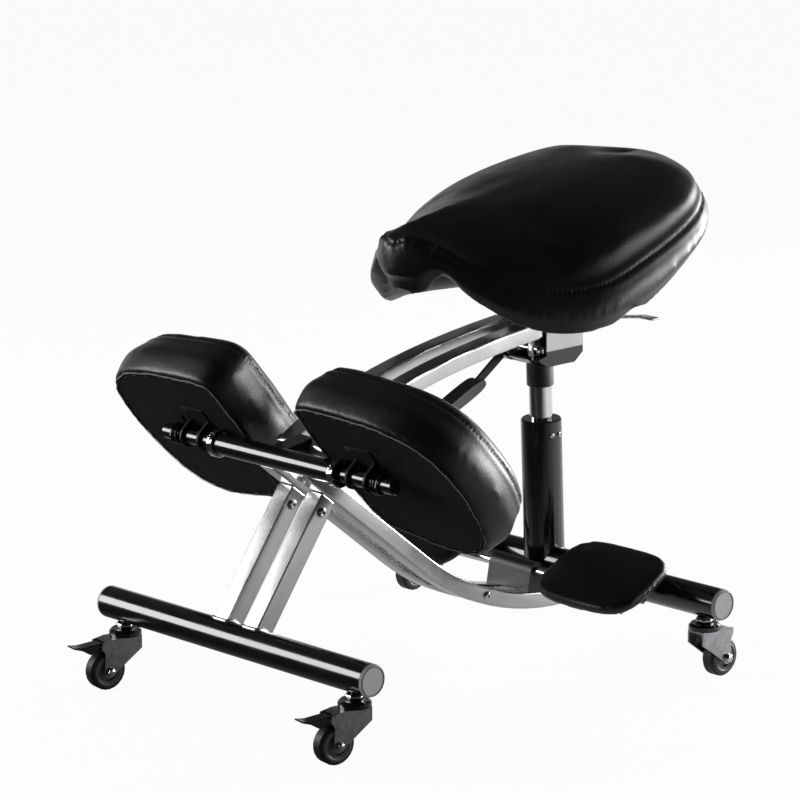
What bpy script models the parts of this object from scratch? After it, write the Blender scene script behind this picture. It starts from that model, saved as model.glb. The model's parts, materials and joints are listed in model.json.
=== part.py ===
# Kneeling chair with a saddle seat, two knee pads, two foot pads and four casters.
# Metres, +Z up. The knee pads are towards -Y, so the sitter's left hand is at +X.
import math

import bmesh
import bpy
from mathutils import Matrix, Vector

# Fits and facets
CLEARANCE = 0.0003          # gap kept between touching pieces
RUNNING_GAP = 0.0004        # radial gap of a turning fit
ROUND_SIDES = 24            # facets round a large tube or wheel
SMALL_SIDES = 14            # facets round a pin or bolt
CURVE_STEPS = 12            # straight runs along a bent frame tube
CROWN_SHARES = (0.05, 0.16, 0.34, 0.62)     # rings of a cushion's crown, from its seam to its middle

# Casters
WHEEL_RADIUS = 0.023
WHEEL_WIDTH = 0.018
WHEEL_GAP = 0.0012          # wheel to fork cheek
TYRE_DEPTH = 0.0065
TYRE_SHOULDER = 0.003
HUB_WEB = 0.009             # thickness of the hub's disc
HUB_WALL = 0.0035           # of the hub's rim
HUB_INSET = 0.0005
CASTER_TRAIL = 0.028
FORK_HEADROOM = 0.0155      # wheel top to fork top
FORK_SHOULDER = 0.009       # depth of the fork's front shoulder
FORK_SHEET = 0.0022
FORK_BOSS_RADIUS = 0.0075
FORK_NOSE = 0.010           # fork reach past the axle
AXLE_RADIUS = 0.003
AXLE_HEAD_RADIUS = 0.0055
AXLE_HEAD = 0.003
RACE_RADIUS = 0.019
RACE_HEIGHT = 0.008
STEM_RADIUS = 0.005
STEM_NUT_RADIUS = 0.009
STEM_NUT_LENGTH = 0.0072
STEM_TAIL = 0.004           # stem above the tube's wall
FRONT_CASTER_TURN = -10.0   # degrees, 0 trails towards -Y
REAR_CASTER_TURN = 180.0
PEDAL_WIDTH = 0.017
PEDAL_REACH = 0.046         # pedal tip past the axle
PEDAL_SHOE = 0.012          # depth of the shoe over the tyre
PEDAL_SHEET = 0.0035
PEDAL_TAIL = 0.006          # pedal end behind the axle

# Cross tubes
TUBE_RADIUS = 0.019
TUBE_WALL = 0.002
FRONT_TUBE_LENGTH = 0.444
REAR_TUBE_LENGTH = 0.576
WHEELBASE = 0.505           # front tube axis to rear tube axis
CAP_FACE = 0.003
CAP_PLUG = 0.012
CAP_ROUND = 0.001
STEM_INSET = 0.026          # caster stem to tube end

# Square-section legs and bent frame tubes
SIDE_SPACING = 0.050        # between the middles of the two frame sides
LEG_SECTION = 0.025
LEG_LEAN = 35.8             # degrees back from vertical
ARC_WIDTH = 0.025
ARC_HEIGHT = 0.020
EDGE_ROUND = 0.0025
LOWER_ARC_RADIUS = 0.385
LOWER_ARC_DROP = 0.039      # rear tube axis down to the arc's middle
HEEL_HALF_LENGTH = 0.013    # of the upstand below the rear tube
HEEL_BITE = 0.007           # upstand's rise past the tube's underside

# Knee bar and the shaft that carries the knee pads
KNEE_AXIS_BACK = 0.066      # from the front tube's axis
KNEE_AXIS_RISE = 0.201
KNEE_BAR_RADIUS = 0.013
KNEE_BAR_LENGTH = 0.212
KNEE_SHAFT_RADIUS = 0.009
KNEE_SHAFT_CHAMFER = 0.002
KNEE_SHAFT_OVERHANG = 0.019     # shaft end past the spring
COLLAR_RADIUS = 0.0165
COLLAR_WIDTH = 0.009
COLLAR_ROUND = 0.001

# Upper arcs, hinged behind the knee bar
HINGE_BACK = 0.044          # hinge from the knee axis
HINGE_RISE = 0.007
HINGE_BOLT_RADIUS = 0.004
HINGE_BOLT_HEAD_RADIUS = 0.0075
HINGE_BOLT_HEAD = 0.004
HINGE_LUG_RADIUS = 0.012
ARC_BEND_SHARE = 0.308      # place of the bend along the upper arc's chord
ARC_BEND_RISE = 0.038       # height of the bend over the chord
ARC_END_AHEAD = 0.013       # arc's rear end, in front of the bracket pin
ARC_END_RISE = 0.027        # and above it
YOKE_PLATE = 0.004
LUG_THICKNESS = 0.006
LUG_OFFSET = 0.0205         # lug middle from the centre plane
LUG_WALL = 0.0035
LUG_NOTCH_GAP = 0.001       # lug to the notch in the bracket's dished floor
SLOT_SIDE_GAP = 0.0016      # the pin's play across its slot
SLOT_AHEAD = 0.0045         # slot run from the pin towards the hinge
SLOT_BEHIND = 0.0155        # slot run away from the hinge

# Gas lift, lengths along its axis
COLUMN_LEAN = 2.6           # degrees towards the knee pads
COLUMN_RADIUS = 0.025
COLUMN_WALL = 0.003
COLUMN_LENGTH = 0.179       # from the rear tube's axis
COLUMN_SKIRT = 0.004        # column foot above the rear tube's axis
COLUMN_LIP = 0.012
COLUMN_ROUND = 0.0015
ROD_RADIUS = 0.014
ROD_INSIDE = 0.110          # rod hidden in the column
ROD_SHOWN = 0.041           # from the column to the collar
TAPER_COLLAR_RADIUS = 0.0165
TAPER_COLLAR_LENGTH = 0.031
COLLAR_STEP = 0.004         # rod shoulder inside the collar
TAPER_RADIUS = 0.013
TAPER_RISE = 0.050          # taper above the bracket's floor
TAPER_DRAFT = 0.001
VALVE_RADIUS = 0.004
VALVE_LENGTH = 0.004

# Seat bracket, placed from the gas lift's axis at the bracket's floor
BRACKET_HALF_WIDTH = 0.036
BRACKET_WALL = 0.0025
BRACKET_AHEAD = 0.0255      # front edge of the side walls
BRACKET_BEHIND = 0.0375     # rear wall
BRACKET_LIP = 0.0375        # front edge of the dished floor
BRACKET_DISH = 0.011        # rise of the dished floor's rim
DISH_RUN = 0.014            # length of the dish's slope
FLANGE_LENGTH = 0.130
FLANGE_WIDTH = 0.120
FLANGE_THICKNESS = 0.003
PIN_AHEAD = 0.0245
PIN_RISE = 0.020
PIN_RADIUS = 0.005

# Seat board and saddle, heights above the saddle's flat underside
SEAT_PITCH = 16.2           # degrees, nose down
SEAT_STAND = 0.1127         # underside above the bracket's floor, on the gas lift's axis
BOARD_BEHIND = 0.0065
BOARD_HALF_WIDTH = 0.112
BOARD_HALF_LENGTH = 0.105
BOARD_THICKNESS = 0.010
BOARD_CORNER = 2.6          # roundness, 2 is an ellipse
SADDLE_EDGE = (             # across, back, seam height, lower edge height, from nose to tail
    (0.000, -0.247, 0.135, 0.070),
    (0.025, -0.236, 0.137, 0.065),
    (0.046, -0.216, 0.119, 0.082),
    (0.075, -0.195, 0.093, 0.054),
    (0.116, -0.155, 0.062, 0.014),
    (0.148, -0.108, 0.038, -0.012),
    (0.168, -0.062, 0.031, -0.020),
    (0.172, 0.000, 0.035, -0.020),
    (0.165, 0.067, 0.039, -0.007),
    (0.145, 0.119, 0.042, 0.001),
    (0.095, 0.168, 0.043, 0.005),
    (0.000, 0.200, 0.044, 0.006),
)
SADDLE_RIDGE = ((-0.222, 0.152), (-0.094, 0.130), (0.000, 0.120), (0.091, 0.107), (0.146, 0.082))
SADDLE_FLAT = (-0.100, 0.156)   # ends of the flat underside's middle line
SADDLE_ROUND = (1.3, 2.4)   # fullness of the crown at the nose and at the tail, 2 is an ellipse
SADDLE_BULGE = 0.008        # sides swell between seam and lower edge
SADDLE_TUCK = 0.010         # lower edge drawn in under the seam
SADDLE_STEPS = 4            # points between two stations of the edge

# Levers on the bracket
LEVER_BEHIND = 0.004        # lever middle behind the gas lift's axis
LEVER_REACH = 0.186
LEVER_RISE = 0.0185         # tip above the pivot
LEVER_TIP = 0.022
LEVER_WIDTH = 0.012
LEVER_THICKNESS = 0.003
LEVER_GAP = 0.0006          # play of the lever in the wall's window
VALVE_GAP = 0.0038          # lever to valve at rest
TILT_AHEAD = 0.0135         # tilt lever's eye
TILT_RISE = 0.015
TILT_PIN_RADIUS = 0.003
TILT_BAR_THICKNESS = 0.004
TILT_BAR_WIDTH = 0.009
TILT_EYE_RADIUS = 0.007
TILT_BAR = (-0.058, -0.040)     # eye to grip, back and up
TILT_GRIP = (-0.050, -0.022)    # along the grip, back and up
GRIP_WIDTH = 0.022
GRIP_THICKNESS = 0.014
GRIP_END = 0.008
GRIP_CORNER = 3.0

# Knee pads, placed from the knee shaft
PAD_SLOPE = 50.0            # degrees, front edge up
PAD_STANDOFF = 0.0180       # shaft axis to the board's underside
PAD_BOARD_THICKNESS = 0.010
PAD_HEIGHT = 0.060          # underside to seam
PAD_CROWN = 0.022
PAD_BULGE = 0.012
PAD_ROUND = 2.2             # fullness of the crown, 2 is an ellipse
PAD_SKIRT = 0.004           # cushion outside its board
PAD_EDGE = (                # across and down the slope
    (0.088, -0.077), (0.160, -0.074), (0.222, -0.062), (0.260, -0.030), (0.272, 0.022), (0.269, 0.072),
    (0.247, 0.113), (0.204, 0.133), (0.150, 0.127), (0.088, 0.106), (0.077, 0.040), (0.079, -0.040),
)
PAD_STEPS = 3               # points between two stations of the edge
EAR_OFFSET = 0.018          # ear past the knee bar's end
EAR_SPAN = 0.032            # over both ears
EAR_THICKNESS = 0.003
EAR_RADIUS = 0.0135
KNEE_PLATE_HALF = 0.034
KNEE_PLATE_THICKNESS = 0.0025
KNEE_PLATE_LIP = 0.003      # plate past the ears
SPRING_OFFSET = 0.006       # spring past the outer ear
SPRING_WIRE = 0.0015        # wire radius
SPRING_COIL = 0.0027        # wire middle outside the shaft
SPRING_TURNS = 3
SPRING_PITCH = 0.0042
SPRING_LEG = 0.022
POINTS_PER_TURN = 10

# Foot bar and foot pads
FOOT_BAR_AHEAD = 0.055      # in front of the rear tube
FOOT_BAR_RISE = 0.026       # above the lower arcs
FOOT_BAR_RADIUS = 0.006
FOOT_BAR_ROUND = 0.001
FOOT_BAR_OVERHANG = 0.020   # past the outer ear
FOOT_SLOPE = 26.0           # degrees, front edge down
FOOT_CENTRE = 0.150
FOOT_HALF_WIDTH = 0.0785
FOOT_HALF_LENGTH = 0.057
FOOT_CORNER = 3.6           # roundness, 2 is an ellipse
FOOT_STANDOFF = 0.0075      # bar axis to the plate's underside
FOOT_PLATE_THICKNESS = 0.0025
FOOT_PLATE_INSET = 0.018
FOOT_PAD_HEIGHT = 0.014
FOOT_CROWN = 0.003
FOOT_BULGE = 0.003
FOOT_EAR_SPAN = 0.080       # over both ears
FOOT_EAR_THICKNESS = 0.010
FOOT_EAR_RADIUS = 0.010
CLAMP_LENGTH = 0.024        # along the arcs
CLAMP_RADIUS = 0.011
CLAMP_INSET = 0.0025        # from the arcs' outer faces

PARTS = "kneeling_chair"
CUTTERS = "kneeling_chair_cutters"
ROOT = "chair_origin"
SIDES = (("left", 1), ("right", -1))

FINISHES = {                # colour, roughness, metallic
    "black_enamel": ((0.012, 0.012, 0.013), 0.22, 0.0),
    "silver_enamel": ((0.55, 0.55, 0.56), 0.34, 0.8),
    "chrome": ((0.80, 0.80, 0.82), 0.12, 1.0),
    "grey_plastic": ((0.42, 0.42, 0.43), 0.45, 0.0),
    "black_plastic": ((0.016, 0.016, 0.017), 0.42, 0.0),
    "black_leather": ((0.014, 0.014, 0.015), 0.48, 0.0),
    "black_board": ((0.020, 0.020, 0.021), 0.85, 0.0),
    "rubber": ((0.022, 0.022, 0.023), 0.65, 0.0),
    "zinc": ((0.66, 0.66, 0.67), 0.28, 1.0),
    "spring_steel": ((0.10, 0.10, 0.11), 0.30, 1.0),
}

X_AXIS = Vector((1, 0, 0))
Y_AXIS = Vector((0, 1, 0))
Z_AXIS = Vector((0, 0, 1))
IDENTITY = Matrix.Identity(4)


# Scene and placing

def clear_scene():
    for obj in list(bpy.data.objects):
        bpy.data.objects.remove(obj, do_unlink=True)
    for name in (PARTS, CUTTERS):
        old = bpy.data.collections.get(name)
        if old:
            bpy.data.collections.remove(old)
        bpy.context.scene.collection.children.link(bpy.data.collections.new(name))
    bpy.data.collections[PARTS].objects.link(bpy.data.objects.new(ROOT, None))


def finish(name):
    made = bpy.data.materials.get(name)
    if made:
        return made
    colour, roughness, metallic = FINISHES[name]
    made = bpy.data.materials.new(name)
    made.use_nodes = True
    shader = made.node_tree.nodes["Principled BSDF"]
    shader.inputs["Base Color"].default_value = (*colour, 1)
    shader.inputs["Roughness"].default_value = roughness
    shader.inputs["Metallic"].default_value = metallic
    made.diffuse_color = (*colour, 1)
    return made


def frame_of(origin, first, second):
    # local x and y along the two given directions
    first = Vector(first).normalized()
    second = Vector(second).normalized()
    rows = Matrix((first, second, first.cross(second))).transposed().to_4x4()
    return Matrix.Translation(origin) @ rows


def side_view(across=0.0):
    # outlines drawn as (back, up), thickness along X
    return frame_of((across, 0, 0), Y_AXIS, Z_AXIS)


def turned_about(origin, direction):
    turn = Z_AXIS.rotation_difference(Vector(direction)).to_matrix().to_4x4()
    return Matrix.Translation(origin) @ turn


def along_x(place, across=0.0):
    return turned_about((across, *place), X_AXIS)


# Shapes, each returns a mesh

def mesh_of(obj):
    graph = bpy.context.evaluated_depsgraph_get()
    mesh = bpy.data.meshes.new_from_object(obj.evaluated_get(graph))
    bpy.data.objects.remove(obj, do_unlink=True)
    work = bmesh.new()
    work.from_mesh(mesh)
    bmesh.ops.remove_doubles(work, verts=work.verts, dist=1e-6)
    bmesh.ops.recalc_face_normals(work, faces=work.faces)
    work.to_mesh(mesh)
    work.free()
    return mesh


def turned(profile, sides=ROUND_SIDES):
    # profile of (radius, height) pairs, closed to itself where it keeps off the axis
    mesh = bpy.data.meshes.new("profile")
    last = len(profile) - 1
    edges = [(i, i + 1) for i in range(last)]
    if min(radius for radius, height in profile) > 0:
        edges.append((last, 0))
    mesh.from_pydata([(radius, 0, height) for radius, height in profile], edges, [])
    obj = bpy.data.objects.new("turned", mesh)
    bpy.context.scene.collection.objects.link(obj)
    screw = obj.modifiers.new("turn", "SCREW")
    screw.steps = sides
    screw.render_steps = sides
    screw.use_merge_vertices = True
    screw.merge_threshold = 1e-6
    return mesh_of(obj)


def cylinder(radius, length, sides=SMALL_SIDES):
    mesh = bpy.data.meshes.new("cylinder")
    work = bmesh.new()
    bmesh.ops.create_cone(work, cap_ends=True, segments=sides, radius1=radius, radius2=radius, depth=length)
    work.to_mesh(mesh)
    work.free()
    return mesh


def ring(outer, inner, length):
    half = length / 2
    return turned([(outer, half), (outer, -half), (inner, -half), (inner, half)])


def plate(outline, thickness):
    curve = bpy.data.curves.new("outline", "CURVE")
    curve.dimensions = "2D"
    curve.fill_mode = "BOTH"
    curve.extrude = thickness / 2
    spline = curve.splines.new("POLY")
    spline.points.add(len(outline) - 1)
    for spot, place in zip(spline.points, outline):
        spot.co = (place[0], place[1], 0, 1)
    spline.use_cyclic_u = True
    obj = bpy.data.objects.new("outline", curve)
    bpy.context.scene.collection.objects.link(obj)
    mesh = mesh_of(obj)
    work = bmesh.new()
    work.from_mesh(mesh)
    bmesh.ops.dissolve_limit(work, angle_limit=0.002, verts=work.verts, edges=work.edges)
    work.to_mesh(mesh)
    work.free()
    return mesh


def block(size):
    mesh = bpy.data.meshes.new("block")
    work = bmesh.new()
    bmesh.ops.create_cube(work, size=1)
    bmesh.ops.scale(work, vec=size, verts=work.verts)
    work.to_mesh(mesh)
    work.free()
    return mesh


def loft(rings):
    # rings of equal count, the first and the last drawn together to a point or a line
    work = bmesh.new()
    rows = [[work.verts.new(place) for place in row] for row in rings]
    for low, high in zip(rows, rows[1:]):
        for i in range(len(low)):
            j = (i + 1) % len(low)
            work.faces.new((low[i], low[j], high[j], high[i]))
    bmesh.ops.remove_doubles(work, verts=work.verts, dist=1e-6)
    bmesh.ops.dissolve_degenerate(work, edges=work.edges, dist=1e-6)
    bmesh.ops.recalc_face_normals(work, faces=work.faces)
    mesh = bpy.data.meshes.new("loft")
    work.to_mesh(mesh)
    work.free()
    return mesh


def wire(places, radius):
    curve = bpy.data.curves.new("wire", "CURVE")
    curve.dimensions = "3D"
    curve.bevel_depth = radius
    curve.bevel_resolution = 1
    curve.use_fill_caps = True
    spline = curve.splines.new("POLY")
    spline.points.add(len(places) - 1)
    for spot, place in zip(spline.points, places):
        spot.co = (*place, 1)
    obj = bpy.data.objects.new("wire", curve)
    bpy.context.scene.collection.objects.link(obj)
    return mesh_of(obj)


# Objects

def add(name, finish_name, mesh, spot=IDENTITY, pivot=(0, 0, 0)):
    # the mesh is placed in chair coordinates, the object's origin lies on its pivot
    mesh = mesh.copy()
    mesh.name = name
    mesh.transform(Matrix.Translation(-Vector(pivot)) @ spot)
    mesh.shade_smooth()
    mesh.set_sharp_from_angle(angle=math.radians(35))
    mesh.materials.append(finish(finish_name))
    obj = bpy.data.objects.new(name, mesh)
    obj.location = pivot
    obj.parent = bpy.data.objects[ROOT]
    bpy.data.collections[PARTS].objects.link(obj)
    return obj


def cutter(name, mesh, spot=IDENTITY):
    tool = bpy.data.objects.new("cut_" + name, mesh)
    tool.matrix_local = spot
    tool.parent = bpy.data.objects[ROOT]
    tool.hide_render = True
    tool.display_type = "WIRE"
    bpy.data.collections[CUTTERS].objects.link(tool)
    return tool


def boolean(obj, tool, operation="DIFFERENCE"):
    step = obj.modifiers.new(tool.name, "BOOLEAN")
    step.operation = operation
    step.solver = "EXACT"
    step.object = tool


def soften(obj, width=EDGE_ROUND, segments=2):
    step = obj.modifiers.new("soften", "BEVEL")
    step.width = width
    step.segments = segments
    step.limit_method = "ANGLE"
    step.angle_limit = math.radians(50)


# Plane geometry, places are pairs

def arc_points(centre, radius, start, stop, count):
    places = []
    for i in range(count + 1):
        angle = math.radians(start + (stop - start) * i / count)
        places.append((centre[0] + radius * math.cos(angle), centre[1] + radius * math.sin(angle)))
    return places


def heading(direction):
    return math.degrees(math.atan2(direction[1], direction[0]))


def left_of(direction):
    return Vector((-direction[1], direction[0])).normalized()


def band(centre_line, half_height):
    # upper and lower edge of an even strip about a centre line
    upper, lower = [], []
    last = len(centre_line) - 1
    for i, place in enumerate(centre_line):
        along = Vector(centre_line[min(i + 1, last)]) - Vector(centre_line[max(i - 1, 0)])
        side = left_of(along) * half_height
        upper.append(tuple(Vector(place) + side))
        lower.append(tuple(Vector(place) - side))
    return upper, lower


def smooth_curve(stations, steps):
    # a smooth closed run through all the stations
    count = len(stations)
    places = []
    for i in range(count):
        a, b, c, d = (stations[(i + k - 1) % count] for k in range(4))
        for step in range(steps):
            t = step / steps
            places.append(tuple(
                q + 0.5 * ((r - p) * t + (2 * p - 5 * q + 4 * r - s) * t ** 2
                           + (3 * q - p - 3 * r + s) * t ** 3)
                for p, q, r, s in zip(a, b, c, d)))
    return places


def grown(loop, distance):
    # counter-clockwise loop moved outwards
    places = []
    for i, place in enumerate(loop):
        along = Vector(loop[(i + 1) % len(loop)]) - Vector(loop[i - 1])
        places.append(tuple(Vector(place) - left_of(along) * distance))
    return places


def counter_clockwise(loop):
    area = sum(p[0] * q[1] - q[0] * p[1] for p, q in zip(loop, loop[1:] + loop[:1]))
    return loop if area > 0 else loop[::-1]


def superellipse(half_x, half_y, power, count):
    places = []
    for i in range(count):
        angle = 2 * math.pi * i / count
        c, s = math.cos(angle), math.sin(angle)
        places.append((half_x * math.copysign(abs(c) ** (2 / power), c),
                       half_y * math.copysign(abs(s) ** (2 / power), s)))
    return places


# Places that several pieces share, as (back, up) pairs from the front tube's axis and the floor

FORK_TOP = 2 * WHEEL_RADIUS + FORK_HEADROOM
RACE_TOP = FORK_TOP + CLEARANCE + RACE_HEIGHT
TUBE_UNDERSIDE = RACE_TOP + STEM_NUT_LENGTH + CLEARANCE
FRONT_TUBE = Vector((0, TUBE_UNDERSIDE + TUBE_RADIUS))
REAR_TUBE = FRONT_TUBE + Vector((WHEELBASE, 0))
KNEE_AXIS = FRONT_TUBE + Vector((KNEE_AXIS_BACK, KNEE_AXIS_RISE))
HINGE = KNEE_AXIS + Vector((HINGE_BACK, HINGE_RISE))
CROSS_TUBES = (("front", FRONT_TUBE, FRONT_TUBE_LENGTH), ("rear", REAR_TUBE, REAR_TUBE_LENGTH))
LOWER_ARC_END = REAR_TUBE - Vector((0, LOWER_ARC_DROP))
LOWER_ARC_CENTRE = LOWER_ARC_END + Vector((0, LOWER_ARC_RADIUS))
COLUMN_AXIS = Vector((0, -math.sin(math.radians(COLUMN_LEAN)), math.cos(math.radians(COLUMN_LEAN))))
BRACKET_FLOOR = COLUMN_LENGTH + ROD_SHOWN + TAPER_COLLAR_LENGTH


def on_column(length):
    # the point of the gas lift's axis at a length from the rear tube's axis
    return Vector((0, *REAR_TUBE)) + COLUMN_AXIS * length


SEAT_POINT = Vector(on_column(BRACKET_FLOOR)[1:])
PIN = SEAT_POINT + Vector((-PIN_AHEAD, PIN_RISE))
ARC_END = PIN + Vector((-ARC_END_AHEAD, ARC_END_RISE))
TILT_EYE = SEAT_POINT + Vector((-TILT_AHEAD, TILT_RISE))
SEAT_TILT = math.radians(SEAT_PITCH)
SEAT_BACKWARD = Vector((0, math.cos(SEAT_TILT), math.sin(SEAT_TILT)))
FOOT_ANGLE = math.asin(FOOT_BAR_AHEAD / LOWER_ARC_RADIUS)
FOOT_AXIS = LOWER_ARC_CENTRE - (LOWER_ARC_RADIUS - ARC_HEIGHT / 2 - FOOT_BAR_RISE) * Vector(
    (math.sin(FOOT_ANGLE), math.cos(FOOT_ANGLE)))


def seat_plane(back):
    # height of the saddle's flat underside over the floor
    return SEAT_POINT.y + SEAT_STAND + (back - SEAT_POINT.x) * math.tan(SEAT_TILT)


def seat_frame(back, drop):
    # x across, y up the seat's pitch, on a plane that lies a drop below the saddle
    origin = Vector((0, back, seat_plane(back)))
    return frame_of(origin, X_AXIS, SEAT_BACKWARD) @ Matrix.Translation((0, 0, -drop))


# Base frame

def tube_ends():
    for row, place, length in CROSS_TUBES:
        for side, sign in SIDES:
            yield row, side, sign, place, length


def build_cross_tubes():
    for row, place, length in CROSS_TUBES:
        tube = ring(TUBE_RADIUS, TUBE_RADIUS - TUBE_WALL, length)
        add(f"{row}_tube", "black_enamel", tube, along_x(place))
    plug = TUBE_RADIUS - TUBE_WALL - CLEARANCE
    cap = turned([(0, CAP_FACE), (TUBE_RADIUS - CAP_ROUND, CAP_FACE),
                  (TUBE_RADIUS, 0), (plug, 0), (plug, -CAP_PLUG), (0, -CAP_PLUG)])
    bore = cylinder(STEM_RADIUS + CLEARANCE, TUBE_RADIUS)
    for row, side, sign, place, length in tube_ends():
        end = Vector((sign * (length / 2 + CLEARANCE), *place))
        add(f"{row}_{side}_tube_cap", "grey_plastic", cap, turned_about(end, X_AXIS * sign))
        stem = Vector((sign * (length / 2 - STEM_INSET), place.x, place.y - TUBE_RADIUS))
        tool = cutter(f"{row}_{side}_stem_hole", bore, Matrix.Translation(stem))
        boolean(bpy.data.objects[f"{row}_tube"], tool)


def lower_arc_line():
    # straight from the knee bar, then bent to run level under the rear tube
    reach = KNEE_AXIS - LOWER_ARC_CENTRE
    touch = heading(reach) + math.degrees(math.acos(LOWER_ARC_RADIUS / reach.length))
    curve = arc_points(LOWER_ARC_CENTRE, LOWER_ARC_RADIUS, touch % 360, 270, CURVE_STEPS)
    ahead = (Vector(curve[0]) - KNEE_AXIS).normalized()
    start = KNEE_AXIS + ahead * (KNEE_BAR_RADIUS + CLEARANCE)
    return [tuple(start)] + curve, ahead


def build_lower_arcs():
    line, ahead = lower_arc_line()
    upper, lower = band(line, ARC_HEIGHT / 2)
    end = REAR_TUBE.x + HEEL_HALF_LENGTH
    heel_top = REAR_TUBE.y - TUBE_RADIUS + HEEL_BITE
    heel = REAR_TUBE.x - HEEL_HALF_LENGTH
    outline = upper[:-1] + [(heel, upper[-1][1]), (heel, heel_top), (end, heel_top), (end, lower[-1][1])]
    outline += lower[::-1]
    seat = cylinder(TUBE_RADIUS + CLEARANCE, SIDE_SPACING * 2, ROUND_SIDES * 2)
    rear_seat = cutter("rear_tube_seat", seat, along_x(REAR_TUBE))
    front_seat = cutter("front_tube_seat", seat, along_x(FRONT_TUBE))
    lean = math.radians(LEG_LEAN)
    rise = Vector((math.sin(lean), math.cos(lean)))
    across = -left_of(rise)
    under = -left_of(ahead)
    level = Vector(line[0]) + under * (ARC_HEIGHT / 2 + CLEARANCE)

    def leg_side(offset):
        # foot and top of one edge of the leg
        foot = FRONT_TUBE + across * offset
        return foot, foot + rise * ((level - foot).dot(under) / rise.dot(under))

    front, rear = leg_side(-LEG_SECTION / 2), leg_side(LEG_SECTION / 2)
    leg_outline = [front[0], rear[0], rear[1], front[1]]
    for side, sign in SIDES:
        spot = side_view(sign * SIDE_SPACING / 2)
        arc = add(f"{side}_lower_arc", "silver_enamel", plate(outline, ARC_WIDTH), spot)
        soften(arc)
        boolean(arc, rear_seat)
        leg = add(f"{side}_leg", "silver_enamel", plate(leg_outline, LEG_SECTION), spot)
        soften(leg)
        boolean(leg, front_seat)


# Knee bar, shaft and hinge

def build_knee_bar():
    bar = add("knee_bar", "black_enamel", cylinder(KNEE_BAR_RADIUS, KNEE_BAR_LENGTH, ROUND_SIDES),
              along_x(KNEE_AXIS))
    reach = HINGE - KNEE_AXIS
    side = left_of(reach) * HINGE_LUG_RADIUS
    turn = heading(reach)
    lug = [KNEE_AXIS - side, *arc_points(HINGE, HINGE_LUG_RADIUS, turn - 90, turn + 90, 8),
           KNEE_AXIS + side]
    width = SIDE_SPACING - ARC_WIDTH - 2 * CLEARANCE
    boolean(bar, cutter("hinge_lug", plate(lug, width), side_view()), "UNION")
    bore = cylinder(KNEE_SHAFT_RADIUS + RUNNING_GAP, KNEE_BAR_LENGTH * 2, ROUND_SIDES)
    boolean(bar, cutter("knee_bore", bore, along_x(KNEE_AXIS)))
    hinge_bore = cylinder(HINGE_BOLT_RADIUS + RUNNING_GAP, SIDE_SPACING * 3)
    boolean(bar, cutter("hinge_bore", hinge_bore, along_x(HINGE)))

    half = spring_start() + SPRING_TURNS * SPRING_PITCH + KNEE_SHAFT_OVERHANG
    rim = KNEE_SHAFT_RADIUS - KNEE_SHAFT_CHAMFER
    shaft = turned([(0, half), (rim, half), (KNEE_SHAFT_RADIUS, half - KNEE_SHAFT_CHAMFER),
                    (KNEE_SHAFT_RADIUS, KNEE_SHAFT_CHAMFER - half), (rim, -half), (0, -half)])
    add("knee_shaft", "black_enamel", shaft, along_x(KNEE_AXIS))

    edge = COLLAR_WIDTH / 2
    bore = KNEE_BAR_RADIUS + CLEARANCE
    collar = turned([(COLLAR_RADIUS - COLLAR_ROUND, edge), (COLLAR_RADIUS, edge - COLLAR_ROUND),
                     (COLLAR_RADIUS, COLLAR_ROUND - edge), (COLLAR_RADIUS - COLLAR_ROUND, -edge),
                     (bore, -edge), (bore, edge)])
    for side, sign in SIDES:
        spot = along_x(KNEE_AXIS, sign * (KNEE_BAR_LENGTH / 2 - edge))
        add(f"{side}_knee_collar", "chrome", collar, spot)

    outside = SIDE_SPACING / 2 + ARC_WIDTH / 2 + CLEARANCE
    top = outside + HINGE_BOLT_HEAD
    head, shank = HINGE_BOLT_HEAD_RADIUS, HINGE_BOLT_RADIUS
    bolt = turned([(0, top), (head * 0.6, top), (head, outside + HINGE_BOLT_HEAD / 3), (head, outside),
                   (shank, outside), (shank, -outside), (head, -outside), (head, -top), (0, -top)],
                  SMALL_SIDES)
    add("hinge_bolt", "zinc", bolt, along_x(HINGE))


def build_upper_arcs():
    chord = ARC_END - HINGE
    bend = HINGE + chord * ARC_BEND_SHARE + Vector((0, ARC_BEND_RISE))
    line = []
    for i in range(CURVE_STEPS + 1):
        t = i / CURVE_STEPS
        line.append(HINGE * (1 - t) ** 2 + bend * 2 * t * (1 - t) + ARC_END * t ** 2)
    upper, lower = band(line, ARC_HEIGHT / 2)
    start = heading(line[1] - line[0])
    nose = arc_points(HINGE, ARC_HEIGHT / 2, start + 90, start + 270, 8)
    outline = lower[1:] + upper[:0:-1] + nose
    pivot = Vector((0, *HINGE))
    for side, sign in SIDES:
        arc = add(f"{side}_upper_arc", "silver_enamel", plate(outline, ARC_WIDTH),
                  side_view(sign * SIDE_SPACING / 2), pivot)
        soften(arc)
        boolean(arc, bpy.data.objects["cut_hinge_bore"])
    build_yoke((line[-1] - line[-2]).normalized(), pivot)


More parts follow.
